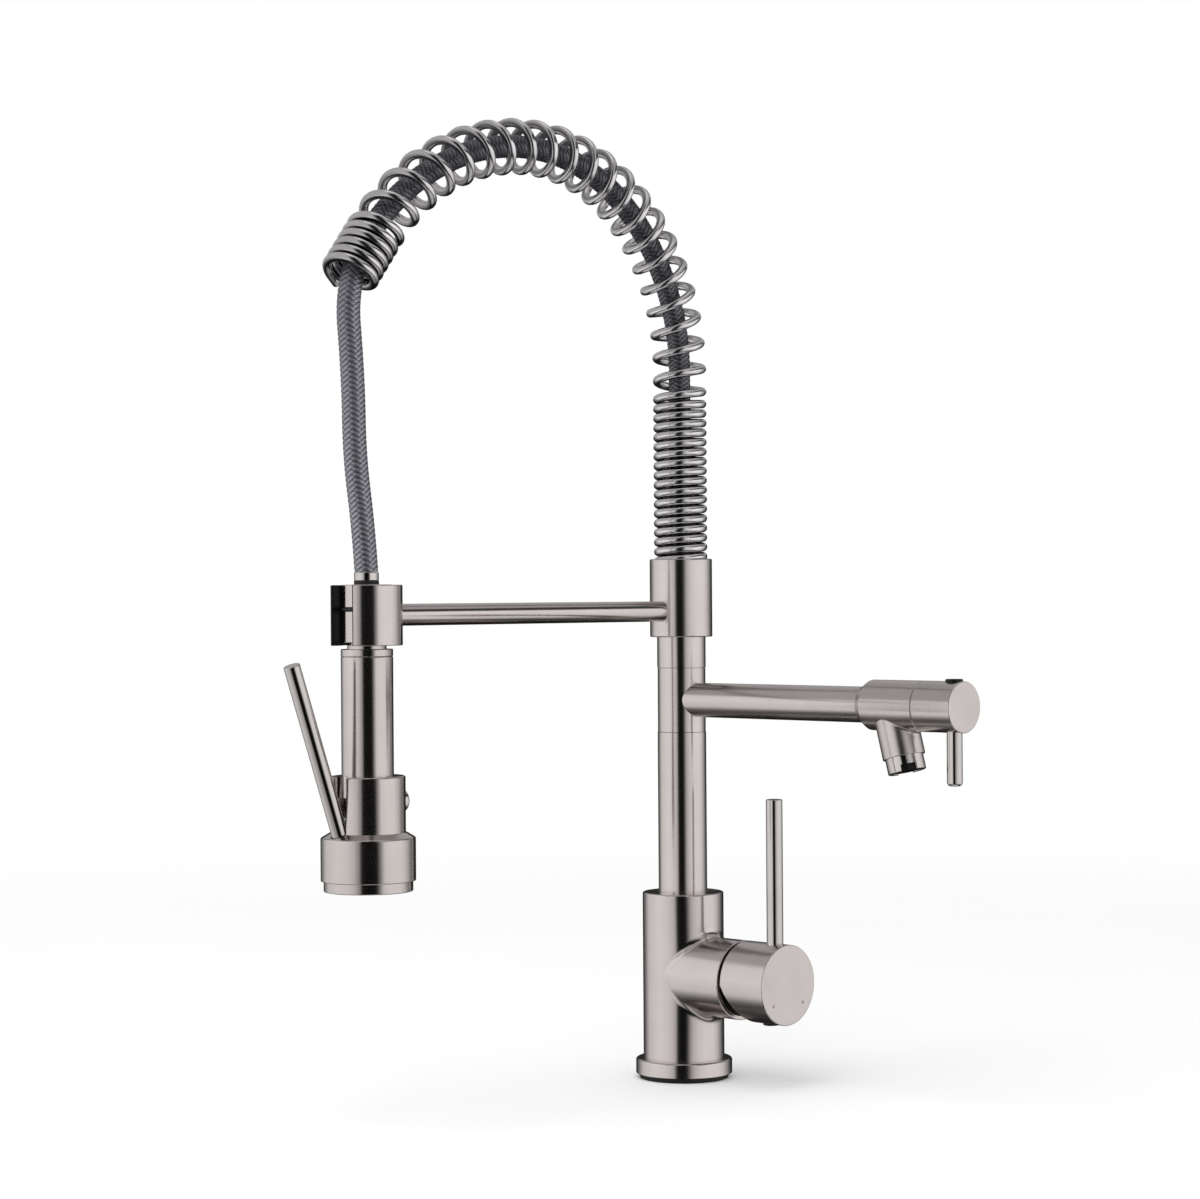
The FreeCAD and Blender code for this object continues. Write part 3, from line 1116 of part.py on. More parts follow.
def spray_body():
    radius = COLLAR_DIAMETER / 2
    body = turned([(0, COLLAR_FOOT), (radius, COLLAR_FOOT),
                   (radius, COLLAR_TOP, COLLAR_EDGE), (0, COLLAR_TOP)])
    tube = WATER_TUBE_DIAMETER / 2
    plunger_z = COLLAR_FOOT + PLUNGER_RISE
    plunger_end = PLUNGER_LENGTH - plunger_tip() + PLUNGER_STROKE + OVERCUT
    button_z = COLLAR_FOOT + BUTTON_RISE
    button_back = radius + BUTTON_PROUD - BUTTON_THICKNESS - BUTTON_STROKE
    button_floor = button_back - BUTTON_END_GAP
    stem_back = button_floor - BUTTON_STEM_LENGTH
    tools = slot_tools() + [
        bar(GRIP_DIAMETER / 2 + SLIP, V(0, 0, GRIP_FOOT), V(0, 0, COLLAR_TOP + OVERCUT)),
        bar(tube + SLIP, V(0, 0, GRIP_FOOT - WATER_TUBE_SEAT), V(0, 0, COLLAR_TOP)),
        bar(tube - WATER_TUBE_WALL, V(0, 0, COLLAR_FOOT - OVERCUT), V(0, 0, COLLAR_TOP)),
        bar(PLUNGER_DIAMETER / 2 + SLIP, V(0, plunger_end, plunger_z), V(0, -radius, plunger_z)),
        bar(BUTTON_DIAMETER / 2 + SLIP, V(0, button_floor, button_z), V(0, 2 * radius, button_z)),
        bar(BUTTON_STEM_DIAMETER / 2 + SLIP, V(0, stem_back, button_z), V(0, radius, button_z)),
        trigger_pin(),
    ]
    return on_spray(body.cut(tools))


def spray_bell():
    bore = COLLAR_DIAMETER / 2 + SLIP
    shoulder = BELL_TOP - BELL_SLOPE
    bell = turned([(bore, COLLAR_FOOT), (BELL_CAVITY, COLLAR_FOOT), (BELL_CAVITY, BELL_FOOT),
                   (BELL_RADIUS, BELL_FOOT, EDGE), (BELL_RADIUS, shoulder, BELL_EDGE),
                   (bore + EDGE, BELL_TOP), (bore, BELL_TOP)])
    half = TRIGGER_SLOT / 2 + 2 * SLIP
    rest = trigger_bar(TRIGGER_ANGLE, TRIGGER_CLEARANCE)
    sill = TRIGGER_PIVOT.z
    mouth = box(V(-half, -COLLAR_DIAMETER / 2 - OVERCUT, sill), V(half, 0, BELL_TOP + OVERCUT))
    return on_spray(bell.cut([rest, mouth]))


def face_bezel():
    spigot = BELL_CAVITY - SLIP
    lip = FACE_RADIUS - FACE_LEDGE
    top = BELL_FOOT + BEZEL_SPIGOT
    profile = [(lip, BEZEL_FOOT, EDGE), (BEZEL_RADIUS, BEZEL_FOOT, EDGE), (BEZEL_RADIUS, BELL_FOOT),
               (spigot, BELL_FOOT), (spigot, top), (FACE_RADIUS, top), (FACE_RADIUS, FACE_FOOT),
               (lip, FACE_FOOT)]
    return on_spray(turned(profile))


def jet_places():
    places = []
    for count, diameter in ((OUTER_JETS, OUTER_JET_RING), (INNER_JETS, INNER_JET_RING)):
        for k in range(count):
            angle = 2 * math.pi * k / count
            places.append((diameter / 2 * math.cos(angle), diameter / 2 * math.sin(angle)))
    return places


def spray_face():
    back = FACE_FOOT + FACE_THICKNESS
    face = ring(FACE_RADIUS - SLIP, STREAM_DIAMETER / 2 + SLIP, FACE_FOOT, back)
    holes = [bar(JET_DIAMETER / 4, V(x, y, FACE_FOOT - OVERCUT), V(x, y, back + OVERCUT))
             for x, y in jet_places()]
    return on_spray(face.cut(holes))


def spray_nozzles():
    inner = JET_DIAMETER / 4
    outer = JET_DIAMETER / 2
    profile = [(inner, -JET_LENGTH), (outer - inner / 2, -JET_LENGTH), (outer, 0), (inner, 0)]
    jets = [turned(profile, V(x, y, FACE_FOOT)) for x, y in jet_places()]
    return on_spray(Part.makeCompound(jets))


def stream_nozzle():
    radius = STREAM_DIAMETER / 2
    foot = FACE_FOOT - STREAM_PROUD
    back = foot + STREAM_LENGTH
    nozzle = turned([(0, foot), (radius, foot, EDGE), (radius, back), (0, back)])
    way = STREAM_DIAMETER / 8
    middle = STREAM_DIAMETER / 4 + EDGE
    holes = [bar(way, V(0, 0, foot - OVERCUT), V(0, 0, back + OVERCUT))]
    for k in range(6):
        spot = V(middle * math.cos(k * math.pi / 3), middle * math.sin(k * math.pi / 3), foot - OVERCUT)
        holes.append(bar(way, spot, spot + Z * (STREAM_LENGTH + 2 * OVERCUT)))
    return on_spray(nozzle.cut(holes))


RUBBER_TOP = -CLAMP_GAP
STEEL_TOP = RUBBER_TOP - RUBBER_WASHER_THICKNESS
RING_FOOT = GRIP_TOP - GRIP_RING_HEIGHT

PIECES = {
    "base_gasket": base_gasket(),
    "mounting_shank": mounting_shank(),
    "rubber_washer": clamp_washer(RUBBER_TOP, RUBBER_WASHER_THICKNESS),
    "steel_washer": clamp_washer(STEEL_TOP, STEEL_WASHER_THICKNESS),
    "locknut": locknut(),
    "base_ring": base_ring(),
    "valve_body": valve_body(),
    "mixer_cartridge": mixer_cartridge(),
    "cartridge_nut": cartridge_nut(),
    "cartridge_rotor": cartridge_rotor(),
    "stem_pin": stem_pin(),
    "cartridge_stem": cartridge_stem(),
    "handle_cap": handle_cap(),
    "mixer_lever": mixer_lever(),
    "handle_screw": handle_screw(),
    "handle_plug": handle_plug(),
    "lower_column": column_tube(COLUMN_SEAT, LOWER_TOP),
    "upper_column": column_tube(UPPER_FOOT, WEB_FOOT - TURN_GAP),
    "column_spine": column_spine(),
    "column_bushes": column_bushes(),
    "hub_seals": hub_seals(),
    "hub_washers": hub_washers(),
    "swivel_hub": swivel_hub(),
    "filler_arm": filler_arm(),
    "filler_body": filler_body(),
    "filler_cartridge": filler_cartridge(),
    "filler_nut": filler_nut(),
    "aerator_ring": aerator_ring(),
    "aerator_screen": aerator_screen(),
    "filler_spindle": filler_spindle(),
    "filler_cap": filler_cap(),
    "filler_lever": filler_lever(),
    "filler_screw": filler_screw(),
    "filler_plug": filler_plug(),
    "bracket_sleeve": bracket_sleeve(),
    "sleeve_bush": sleeve_bush(),
    "bracket_rod": bracket_rod(),
    "hose_holder": hose_holder(),
    "holder_liner": holder_liner(),
    "spring": spring(),
    "hose_swivel": hose_swivel(),
    "lower_ferrule": lower_ferrule(),
    "spray_hose": spray_hose(),
    "hose_seal": hose_seal(),
    "hose_ferrule": hose_ferrule(),
    "spray_neck": spray_neck(),
    "neck_o_ring": neck_o_ring(),
    "handle_ring": grip_tube(RING_FOOT, GRIP_TOP, EDGE),
    "spray_handle": grip_tube(GRIP_FOOT, RING_FOOT, EDGE),
    "water_tube": water_tube(),
    "spray_body": spray_body(),
    "spray_bell": spray_bell(),
    "face_bezel": face_bezel(),
    "spray_face": spray_face(),
    "spray_nozzles": spray_nozzles(),
    "stream_nozzle": stream_nozzle(),
    "trigger_lever": trigger_lever(),
    "trigger_pin": on_spray(trigger_pin()),
    "valve_plunger": valve_plunger(),
    "mode_button": mode_button(),
}

os.makedirs("parts", exist_ok=True)
for name, shape in PIECES.items():
    print("%s: %d solid, valid %s, volume %.1f" % (name, len(shape.Solids), shape.isValid(), shape.Volume))
    shape.exportStep("parts/%s.step" % name)
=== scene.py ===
import math

import bpy
from bpy.props import FloatProperty, FloatVectorProperty, IntProperty, PointerProperty
from mathutils import Matrix, Vector


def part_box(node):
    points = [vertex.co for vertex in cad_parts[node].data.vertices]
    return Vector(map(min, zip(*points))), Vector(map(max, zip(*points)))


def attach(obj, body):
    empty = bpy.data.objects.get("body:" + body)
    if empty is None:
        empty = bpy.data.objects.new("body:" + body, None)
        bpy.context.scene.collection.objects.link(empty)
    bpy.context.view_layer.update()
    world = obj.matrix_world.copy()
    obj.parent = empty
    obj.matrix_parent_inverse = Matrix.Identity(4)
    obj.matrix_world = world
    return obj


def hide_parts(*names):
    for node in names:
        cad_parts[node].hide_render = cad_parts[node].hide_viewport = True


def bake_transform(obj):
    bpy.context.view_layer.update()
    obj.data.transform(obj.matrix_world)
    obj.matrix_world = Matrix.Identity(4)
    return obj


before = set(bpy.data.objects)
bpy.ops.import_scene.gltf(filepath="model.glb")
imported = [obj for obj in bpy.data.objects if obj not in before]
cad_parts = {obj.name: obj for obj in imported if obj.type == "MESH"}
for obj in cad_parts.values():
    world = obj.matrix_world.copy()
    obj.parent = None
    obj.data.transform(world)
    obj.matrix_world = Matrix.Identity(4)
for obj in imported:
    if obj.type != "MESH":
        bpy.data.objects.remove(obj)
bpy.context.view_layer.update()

bl_info = {
    "name": "Sprung Kitchen Faucet",
    "version": (1, 0, 0),
    "blender": (4, 5, 0),
    "location": "View3D > Sidebar > Faucet",
    "description": "Dresses a sprung kitchen faucet with its finishes, spring, braided hose and studio",
    "category": "Object",
}

X = Vector((1, 0, 0))
Z = Vector((0, 0, 1))
TURN = 2 * math.pi

# Route of the hose in the plane of the spout: reach from the column and height, in metres
HOSE_ROUTE = [(0.0, 0.27405), (0.0, 0.3620), (0.0, 0.4220), (0.0302, 0.4745), (0.0825, 0.5050),
              (0.1470, 0.5050), (0.2067, 0.4755), (0.2428, 0.4299), (0.2378, 0.3770), (0.2373, 0.3385),
              (0.2318, 0.3030), (0.2300, 0.28055)]

# Edge angles up to which pieces are shown smooth
SMOOTH_EDGE = math.radians(40)
THREAD_EDGE = math.radians(30)

# Straight tail at each end of the wire: its points, and its chamfer and end face by the wire's size
TAIL_POINTS = 2
TAIL_CHAMFER = 0.12
TAIL_FACE = 0.82

# Distance that counts as none, in metres
SAME_PLACE = 1e-6

# Fullness of a strand of the braid, and how far its crown dips at the sides of the strand that it crosses
STRAND_FULLNESS = 0.7
STRAND_DIP = 0.2

# Strands that a strand of the braid crosses before it goes below as many
STRANDS_OVER = 2

# Rows of points to a pitch of the shank's thread, and top of a dot by its foot
THREAD_ROWS = 6
DOT_TOP = 0.85

# Brush lines of the nickel: noise cycles to a metre, by the axis that the lines go round
BRUSH_SCALES = {"X": (5200.0, 38.0, 38.0), "Y": (38.0, 5200.0, 38.0), "Z": (38.0, 38.0, 5200.0)}

# Depth of the brush lines, and roughness of the level pieces by that of the upright ones
SATIN_GRAIN = 0.5
POLISHED_GRAIN = 0.2
CROSS_ROUGHNESS = 1.35

# Finish of the mouldings and roughness of the bare metals
RUBBER_FINISH = {"roughness": 0.55, "grain": 0.35}
BLACK_FINISH = {"roughness": 0.34, "grain": 0.15, "bend": 1.35}
GREY_FINISH = {"roughness": 0.42, "grain": 0.2}
DOT_FINISH = {"roughness": 0.4, "grain": 0.1}
BRASS_ROUGHNESS = 0.26
# Roughness of the near black nuts, whose colour is painted shade in the gaps they show through
GAP_SHADE_ROUGHNESS = 0.45
STEEL_ROUGHNESS = 0.22

# Light of the tent: its wall by degrees to the right of the camera, and its wall and roof by degrees of rise
TENT_WALL = ((-180, 0.02), (-159, 0.03), (-141, 0.22), (-117, 0.82), (-75, 1.0), (-47, 0.90), (-29, 0.70),
             (-23, 0.44), (6, 0.36), (16, 0.46), (28, 0.72), (42, 0.90), (62, 1.0), (92, 0.98), (108, 0.76),
             (122, 0.42), (137, 0.12), (149, 0.03), (180, 0.02))
TENT_WALL_RISE = ((-90, 0.03), (-46, 0.06), (-38, 0.38), (-30, 0.84), (-12, 0.92), (2, 1.0), (34, 0.96),
                  (44, 0.0))
TENT_ROOF_RISE = ((-90, 0.55), (-60, 0.50), (-53, 0.0), (34, 0.0), (44, 0.36), (58, 0.36), (72, 0.65),
                  (90, 0.85))

# Middle of the tent and fineness of its mesh
TENT_MIDDLE = Vector((0, -0.11, 0.26))
TENT_RINGS = 24
TENT_SIDES = 48

# Cover of the far and the near dark slot from the left side to the right side, and their light
SLOT_COVER = ((0.0, 0.0), (0.14, 1.0), (0.74, 1.0), (1.0, 0.0))
NEAR_COVER = ((0.0, 0.0), (0.25, 1.0), (0.45, 1.0), (1.0, 0.0))
SLOT_LIGHT = 0.004

# Light of each paper that the cards are made of
CARD_LIGHT = {"Dark Card": 0.05, "Grey Card": 0.45, "Dim Card": 0.38}

# Cards: name, paper, start, middle from there (right, ahead, up), half width (right, ahead), half height
LEFT_START = Vector((0.08, 0, 0))
TENT_CARDS = (
    ("dark_bar", "Dark Card", TENT_MIDDLE, (2.0, 0.0, 1.325), (0.0, 2.0), 0.475),
    ("left_panel", "Grey Card", LEFT_START, (-0.42, 0.0, 0.7675), (0.0, 1.6), 0.3825),
    ("left_roof", "Dim Card", LEFT_START, (-0.42, 0.0, 1.48), (0.0, 1.6), 0.33),
    ("back_panel", "Grey Card", TENT_MIDDLE, (0.0, 2.0, 1.25), (1.2, 0.0), 0.75),
    ("right_panel", "Grey Card", TENT_MIDDLE, (2.1, 0.0, 1.95), (0.0, 3.0), 1.1),
)

# Dark cover below the deck: radius and height of its rows, its sides and its light
SKIRT_ROWS = ((0.030, -0.10), (0.030, -0.0005), (0.0, -0.0005))
SKIRT_SIDES = 32
SKIRT_LIGHT = 0.02

# Deck: its corners, and the distances between which it clears
DECK_SIDES = 48
DECK_CLEARS_FROM = 0.5
DECK_CLEARS_TO = 1.6

# Softbox and camera
KEY_PLACE = Vector((0.2, -1.1, 1.9))
KEY_TARGET = Vector((0, -0.1, 0.2))
KEY_SIZE = 1.6
SENSOR_WIDTH = 36

# CAD nodes by finish
UPRIGHT_NICKEL = ("base_ring", "valve_body", "lower_column", "upper_column", "swivel_hub")
CROSS_NICKEL = ("handle_cap", "filler_arm", "filler_body", "filler_cap")
ROD_NICKEL = ("bracket_rod",)
BRACKET_NICKEL = ("bracket_sleeve", "hose_holder")
SPRAY_NICKEL = ("spray_neck", "handle_ring", "spray_handle", "spray_body", "spray_bell", "face_bezel")
POLISHED = ("mixer_lever", "filler_lever", "trigger_lever", "hose_ferrule", "lower_ferrule", "aerator_ring",
            "mode_button")
RUBBER = ("base_gasket", "rubber_washer", "hub_seals", "neck_o_ring", "hose_seal", "spray_nozzles")
BLACK_PLASTIC = ("handle_plug", "filler_plug", "holder_liner", "hub_washers", "sleeve_bush", "aerator_screen")
GREY_PLASTIC = ("mixer_cartridge", "filler_cartridge", "cartridge_rotor", "column_bushes", "spray_face",
                "stream_nozzle", "water_tube")
# Nuts made near black as painted shade in the narrow gaps where they show
GAP_SHADE_NUTS = ("cartridge_nut", "filler_nut")
BRASS = ("locknut", "column_spine", "hose_swivel", "cartridge_stem", "filler_spindle")
STEEL = ("steel_washer", "stem_pin", "handle_screw", "filler_screw", "trigger_pin", "valve_plunger")


def length(name, description, default):
    """Length in metres that a user can change."""
    return FloatProperty(name=name, description=description, default=default, unit="LENGTH", precision=4)


def colour(name, description, default):
    """Colour that a user can change."""
    return FloatVectorProperty(name=name, description=description, default=default, size=3, min=0, max=1,
                               subtype="COLOR")


def share(name, description, default):
    """Number from nothing to one that a user can change."""
    return FloatProperty(name=name, description=description, default=default, min=0, max=1, subtype="FACTOR")


def angle(name, description, degrees):
    """Angle that a user can change."""
    return FloatProperty(name=name, description=description, default=math.radians(degrees), subtype="ANGLE")


def count(name, description, default):
    """Whole number that a user can change."""
    return IntProperty(name=name, description=description, default=default, min=1)


class SpringSizes(bpy.types.PropertyGroup):
    """Sizes of the coil spring"""
    wire: length("Wire", "Wire diameter", 0.0048)
    coil: length("Coil", "Coil diameter to the middle of the wire", 0.0250)
    gap: length("Gap", "Gap between the closed turns", 0.0005)
    rise: length("Rise", "Straight spring above the sleeve", 0.1044)
    back_radius: length("Back Radius", "Radius of the arch over the column", 0.1127)
    front_radius: length("Front Radius", "Radius of the arch past the top", 0.1396)
    front_turn: angle("Front Turn", "Turn of the arch past the top", 53.2)
    mouth: length("Mouth", "Straight closed end", 0.028)
    growth: length("Growth", "Last open pitch over the first", 0.004)
    start: angle("Start", "Way round the coil to the wire's start", 180)
    # Share by which the painted shade on the wire's flanks is lessened on the open turns
    painted_shading: share("Worn", "Bright wear on the flanks of the open turns", 0.14)
    closed_turns: count("Closed Turns", "Closed turns on the column", 21)
    open_turns: count("Open Turns", "Open turns over the arch", 22)
    mouth_turns: count("Mouth Turns", "Closed turns at the mouth", 5)
    steps: count("Steps", "Points to a turn", 36)
    sides: count("Sides", "Sides of the wire", 16)


class HoseSizes(bpy.types.PropertyGroup):
    """Sizes of the braided hose"""
    diameter: length("Diameter", "Outside of the braid", 0.0120)
    strands: count("Strands", "Strands each way round the hose", 8)
    lay: length("Lay", "Distance between strands along the hose", 0.0026)
    relief: length("Relief", "Height of a strand over the gap beside it", 0.00035)
    sides: count("Sides", "Sides of the tube", 72)
    steps: count("Steps", "Points to a span of the route", 130)
    free: length("Free", "Length of hose seen below the spring", 0.142)
    # Painted shade of the hose inside the spring: the length over which it darkens, and its brightness there
    fade: length("Fade", "Length over which the hose darkens inside the spring", 0.014)
    shade: share("Shade", "Brightness of the worn braid inside the spring", 0.50)


class ShankSizes(bpy.types.PropertyGroup):
    """Sizes of the threaded shank"""
    pitch: length("Pitch", "Thread pitch", 0.0015)
    depth: length("Depth", "Thread depth", 0.0007)
    runout: length("Run-out", "Plain length beside the pilot", 0.0020)
    bore: length("Bore", "Bore for the supply hoses", 0.0250)
    outside: length("Outside", "Outside of the thread", 0.0320)
    pilot: length("Pilot", "Diameter of the plain pilot", 0.0335)
    pilot_length: length("Pilot Length", "Length of the pilot below the deck", 0.0060)
    spigot: length("Spigot", "Diameter of the end in the body", 0.0298)
    spigot_length: length("Spigot Length", "Length of the end in the body", 0.0120)
    sides: count("Sides", "Sides of the shank", 72)


class MarkSizes(bpy.types.PropertyGroup):
    """Sizes of the hot and cold dots"""
    diameter: length("Diameter", "Dot diameter", 0.0019)
    proud: length("Proud", "Dot over the face", 0.00012)
    aside: length("Aside", "Dot from the middle of the face, sideways", 0.0119)
    below: length("Below", "Dot below the middle of the face", 0.0102)
    sides: count("Sides", "Sides of a dot", 32)


class FinishColours(bpy.types.PropertyGroup):
    """Colours and gloss of the finishes"""
    nickel: colour("Nickel", "Satin nickel of the body and the pot filler", (0.67, 0.613, 0.597))
    spray_nickel: colour("Spray Nickel", "Satin nickel of the spray head", (0.645, 0.593, 0.575))
    bracket_nickel: colour("Bracket Nickel", "Satin nickel of the bracket", (0.67, 0.615, 0.60))
    polished: colour("Polished Nickel", "Bright nickel of the levers", (0.66, 0.62, 0.60))
    spring: colour("Spring Nickel", "Satin nickel of the spring", (0.80, 0.77, 0.785))
    braid: colour("Braid", "Strands of the hose", (0.215, 0.215, 0.245))
    braid_gap: colour("Braid Gap", "Gaps between the strands", (0.018, 0.018, 0.024))
    rubber: colour("Rubber", "Seals and gasket", (0.012, 0.012, 0.013))
    black_plastic: colour("Black Plastic", "Plugs and liners", (0.005, 0.005, 0.0055))
    grey_plastic: colour("Grey Plastic", "Cartridges and spray face", (0.22, 0.22, 0.225))
    brass: colour("Brass", "Turned brass inside", (0.74, 0.55, 0.27))
    # Painted shade: near black nuts that darken the gaps they show through
    gap_shade: colour("Gap Shade Brass", "Black plated cartridge nuts", (0.030, 0.028, 0.026))
    steel: colour("Steel", "Screws and pins", (0.52, 0.52, 0.53))
    hot: colour("Hot", "Hot dot", (0.42, 0.33, 0.32))
    cold: colour("Cold", "Cold dot", (0.32, 0.35, 0.41))
    satin: share("Satin", "Roughness of the satin nickel", 0.17)
    gloss: share("Gloss", "Roughness of the polished nickel", 0.11)
    drawn: share("Drawn", "Roughness of the spring's drawn wire", 0.17)


class StudioSettings(bpy.types.PropertyGroup):
    """Camera and light"""
    azimuth: angle("Azimuth", "Direction of the camera round the column", 44.76)
    distance: length("Distance", "Camera from the column, along its view", 1.615)
    aside: length("Aside", "Column to the right of the camera's axis", 0.0451)
    height: length("Height", "Camera above the deck", 0.2683)
    lens: FloatProperty(name="Lens", description="Focal length", default=87, unit="CAMERA")
    roll: angle("Roll", "Tilt of the picture", -0.39)
    shift: FloatProperty(name="Shift", description="Horizon below the middle of the picture", default=-0.0037)
    floor: colour("Floor", "Pale deck", (0.93, 0.93, 0.93))
    floor_glow: share("Floor Glow", "White added to the deck for the camera", 0.085)
    floor_radius: length("Floor Radius", "Size of the deck", 8.0)
    sky: share("Sky", "Light of the white surround on matt surfaces", 0.80)
    key: FloatProperty(name="Key", description="Power of the large softbox", default=16, unit="POWER")
    tent_radius: length("Tent Radius", "Size of the light tent that the metal shows", 5.0)
    slot_distance: length("Slot Distance", "Dark slot of the tent in front of the column", 0.955)
    slot_aside: length("Slot Aside", "Middle of the dark slot to the left of the column", 0.100)
    slot_width: length("Slot Width", "Width of the dark slot", 0.64)
    near_distance: length("Near Distance", "Near dark slot in front of the column", 0.514)
    near_aside: length("Near Aside", "Middle of the near slot to the right of the column", 0.020)
    near_width: length("Near Width", "Width of the near slot", 0.30)


def add_node(tree, kind, sockets=None, **settings):
    """New shader node with its settings, and with its sockets set or linked."""
    node = tree.nodes.new(kind)
    for key, value in settings.items():
        setattr(node, key, value)
    for name, value in (sockets or {}).items():
        if isinstance(value, bpy.types.NodeSocket):
            tree.links.new(value, node.inputs[name])
        else:
            node.inputs[name].default_value = value
    return node


def opaque(tint):
    """Colour with its alpha."""
    return (*tint, 1.0)


def shaded(tint, level):
    """Colour made lighter or darker."""
    return tuple(min(1.0, part * level) for part in tint)


def ramp(tree, value, stops):
    """Colour ramp from (place, colour) stops."""
    node = add_node(tree, "ShaderNodeValToRGB", {"Fac": value})
    elements = node.color_ramp.elements
    while len(elements) < len(stops):
        elements.new(1.0)
    for element, (place, tint) in zip(elements, stops):
        element.position = place
        element.color = opaque(tint)
    return node.outputs["Color"]


def noise(tree, scales, detail=3.0, source="Object"):
    """Noise stretched by its scale along each axis."""
    coordinates = add_node(tree, "ShaderNodeTexCoord")
    stretch = add_node(tree, "ShaderNodeMapping", {"Vector": coordinates.outputs[source], "Scale": scales})
    sockets = {"Vector": stretch.outputs["Vector"], "Scale": 1.0, "Detail": detail}
    texture = add_node(tree, "ShaderNodeTexNoise", sockets)
    return texture.outputs["Fac"]


def spread(tree, value, low, high):
    """Value from nothing to one brought between two ends."""
    node = add_node(tree, "ShaderNodeMapRange", {"Value": value, "To Min": low, "To Max": high})
    return node.outputs["Result"]


def raised(tree, height, strength, distance):
    """Normal of a surface raised by a height."""
    node = add_node(tree, "ShaderNodeBump", {"Height": height, "Strength": strength, "Distance": distance})
    return node.outputs["Normal"]


def new_finish(name, **sockets):
    """New material, its node tree and its surface shader with the sockets that stay the same all over."""
    material = bpy.data.materials.new(name)
    material.use_nodes = True
    shader = material.node_tree.nodes["Principled BSDF"]
    for key, value in sockets.items():
        shader.inputs[key.replace("_", " ")].default_value = value
    return material, material.node_tree, shader


def even(scale):
    """The same noise scale along each axis."""
    return (scale, scale, scale)


def link_finish(tree, shader, tint, roughness, normal):
    """Links a finish's colour, roughness and normal to its shader."""
    for name, socket in (("Base Color", tint), ("Roughness", roughness), ("Normal", normal)):
        tree.links.new(socket, shader.inputs[name])


def brushed_metal(name, tint, roughness, axis, grain):
    """Satin metal with fine brush lines that go round an axis."""
    material, tree, shader = new_finish(name, Metallic=1.0, Anisotropic=0.55, Anisotropic_Rotation=0.25)
    lines = noise(tree, BRUSH_SCALES[axis])
    clouds = noise(tree, even(45.0), detail=2.0)
    tone = add_node(tree, "ShaderNodeMath", {0: lines, 1: clouds}, operation="MULTIPLY")
    spots = ramp(tree, tone.outputs["Value"], [(0.08, shaded(tint, 0.93)), (0.42, shaded(tint, 1.04))])
    gloss = spread(tree, lines, low=roughness * 0.85, high=roughness * 1.2)
    link_finish(tree, shader, spots, gloss, raised(tree, lines, strength=0.10 * grain, distance=0.00004))
    tangent = add_node(tree, "ShaderNodeTangent", direction_type="RADIAL", axis=axis)
    tree.links.new(tangent.outputs["Tangent"], shader.inputs["Tangent"])
    return material


def turned_metal(name, tint, roughness):
    """Bare machined metal with fine turning marks and stains."""
    material, tree, shader = new_finish(name, Metallic=1.0)
    marks = noise(tree, (180.0, 180.0, 2600.0), detail=2.0)
    stains = noise(tree, even(70.0), detail=4.0)
    spots = ramp(tree, stains, [(0.30, shaded(tint, 0.78)), (0.65, tint)])
    gloss = spread(tree, stains, low=roughness * 1.35, high=roughness * 0.8)
    link_finish(tree, shader, spots, gloss, raised(tree, marks, strength=0.15, distance=0.00005))
    return material


def moulded(name, tint, roughness, grain, bend=1.48):
    """Moulded plastic or rubber with a fine grain and uneven gloss."""
    material, tree, shader = new_finish(name, IOR=bend)
    pores = noise(tree, even(1800.0), detail=2.0)
    clouds = noise(tree, even(120.0))
    spots = ramp(tree, clouds, [(0.3, shaded(tint, 0.85)), (0.7, shaded(tint, 1.15))])
    gloss = spread(tree, clouds, low=roughness * 0.85, high=roughness * 1.15)
    link_finish(tree, shader, spots, gloss, raised(tree, pores, strength=grain, distance=0.00006))
    return material


def spring_metal(name, tint, roughness):
    """Drawn wire with faint lines along it, with painted shade on the flanks between its turns."""
    material, tree, shader = new_finish(name, Metallic=1.0)
    lines = noise(tree, (26.0, 30.0, 1.0), source="UV")
    clouds = noise(tree, even(60.0))
    spots = ramp(tree, clouds, [(0.3, shaded(tint, 0.88)), (0.7, shaded(tint, 1.06))])
    # Painted shade: the wire's flanks that face the next turn are darkened, as the turns shade each other
    flank = add_node(tree, "ShaderNodeAttribute", attribute_name="flank")
    painted_flank_shade = ramp(tree, flank.outputs["Fac"], [(0.66, (1, 1, 1)), (0.92, (0.12, 0.12, 0.12))])
    painted_shading = add_node(tree, "ShaderNodeVectorMath", {0: spots, 1: painted_flank_shade}, operation="MULTIPLY")
    gloss = spread(tree, lines, low=roughness * 0.8, high=roughness * 1.25)
    normal = raised(tree, lines, strength=0.06, distance=0.00006)
    link_finish(tree, shader, painted_shading.outputs["Vector"], gloss, normal)
    return material


def braided(name, tint, gap):
    """Braid of dark strands, lighter on their crowns and shaded where the spring covers it."""
    material, tree, shader = new_finish(name, Metallic=0.8, IOR=1.5)
    crown = add_node(tree, "ShaderNodeAttribute", attribute_name="crown")
    fibres = noise(tree, even(1400.0), detail=2.0)
    tone = add_node(tree, "ShaderNodeMath", {0: fibres, 1: 0.25, 2: crown.outputs["Fac"]},
                    operation="MULTIPLY_ADD")
    strands = [(0.12, gap), (0.55, shaded(tint, 0.75)), (1.0, shaded(tint, 1.7))]
    shades = ramp(tree, tone.outputs["Value"], strands)
    # Painted shade: the braid is darkened where it runs inside the spring
    inside = add_node(tree, "ShaderNodeAttribute", attribute_name="shade")
    painted_shading = add_node(tree, "ShaderNodeVectorMath", {0: shades, 1: inside.outputs["Vector"]},
                    operation="MULTIPLY")
    gloss = spread(tree, fibres, low=0.30, high=0.46)
    normal = raised(tree, fibres, strength=0.25, distance=0.00008)
    link_finish(tree, shader, painted_shading.outputs["Vector"], gloss, normal)
    return material


def finish_nodes(names, material):
    """Gives CAD nodes their material."""
    for name in names:
        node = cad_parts[name]
        node.data.materials.clear()
        node.data.materials.append(material)


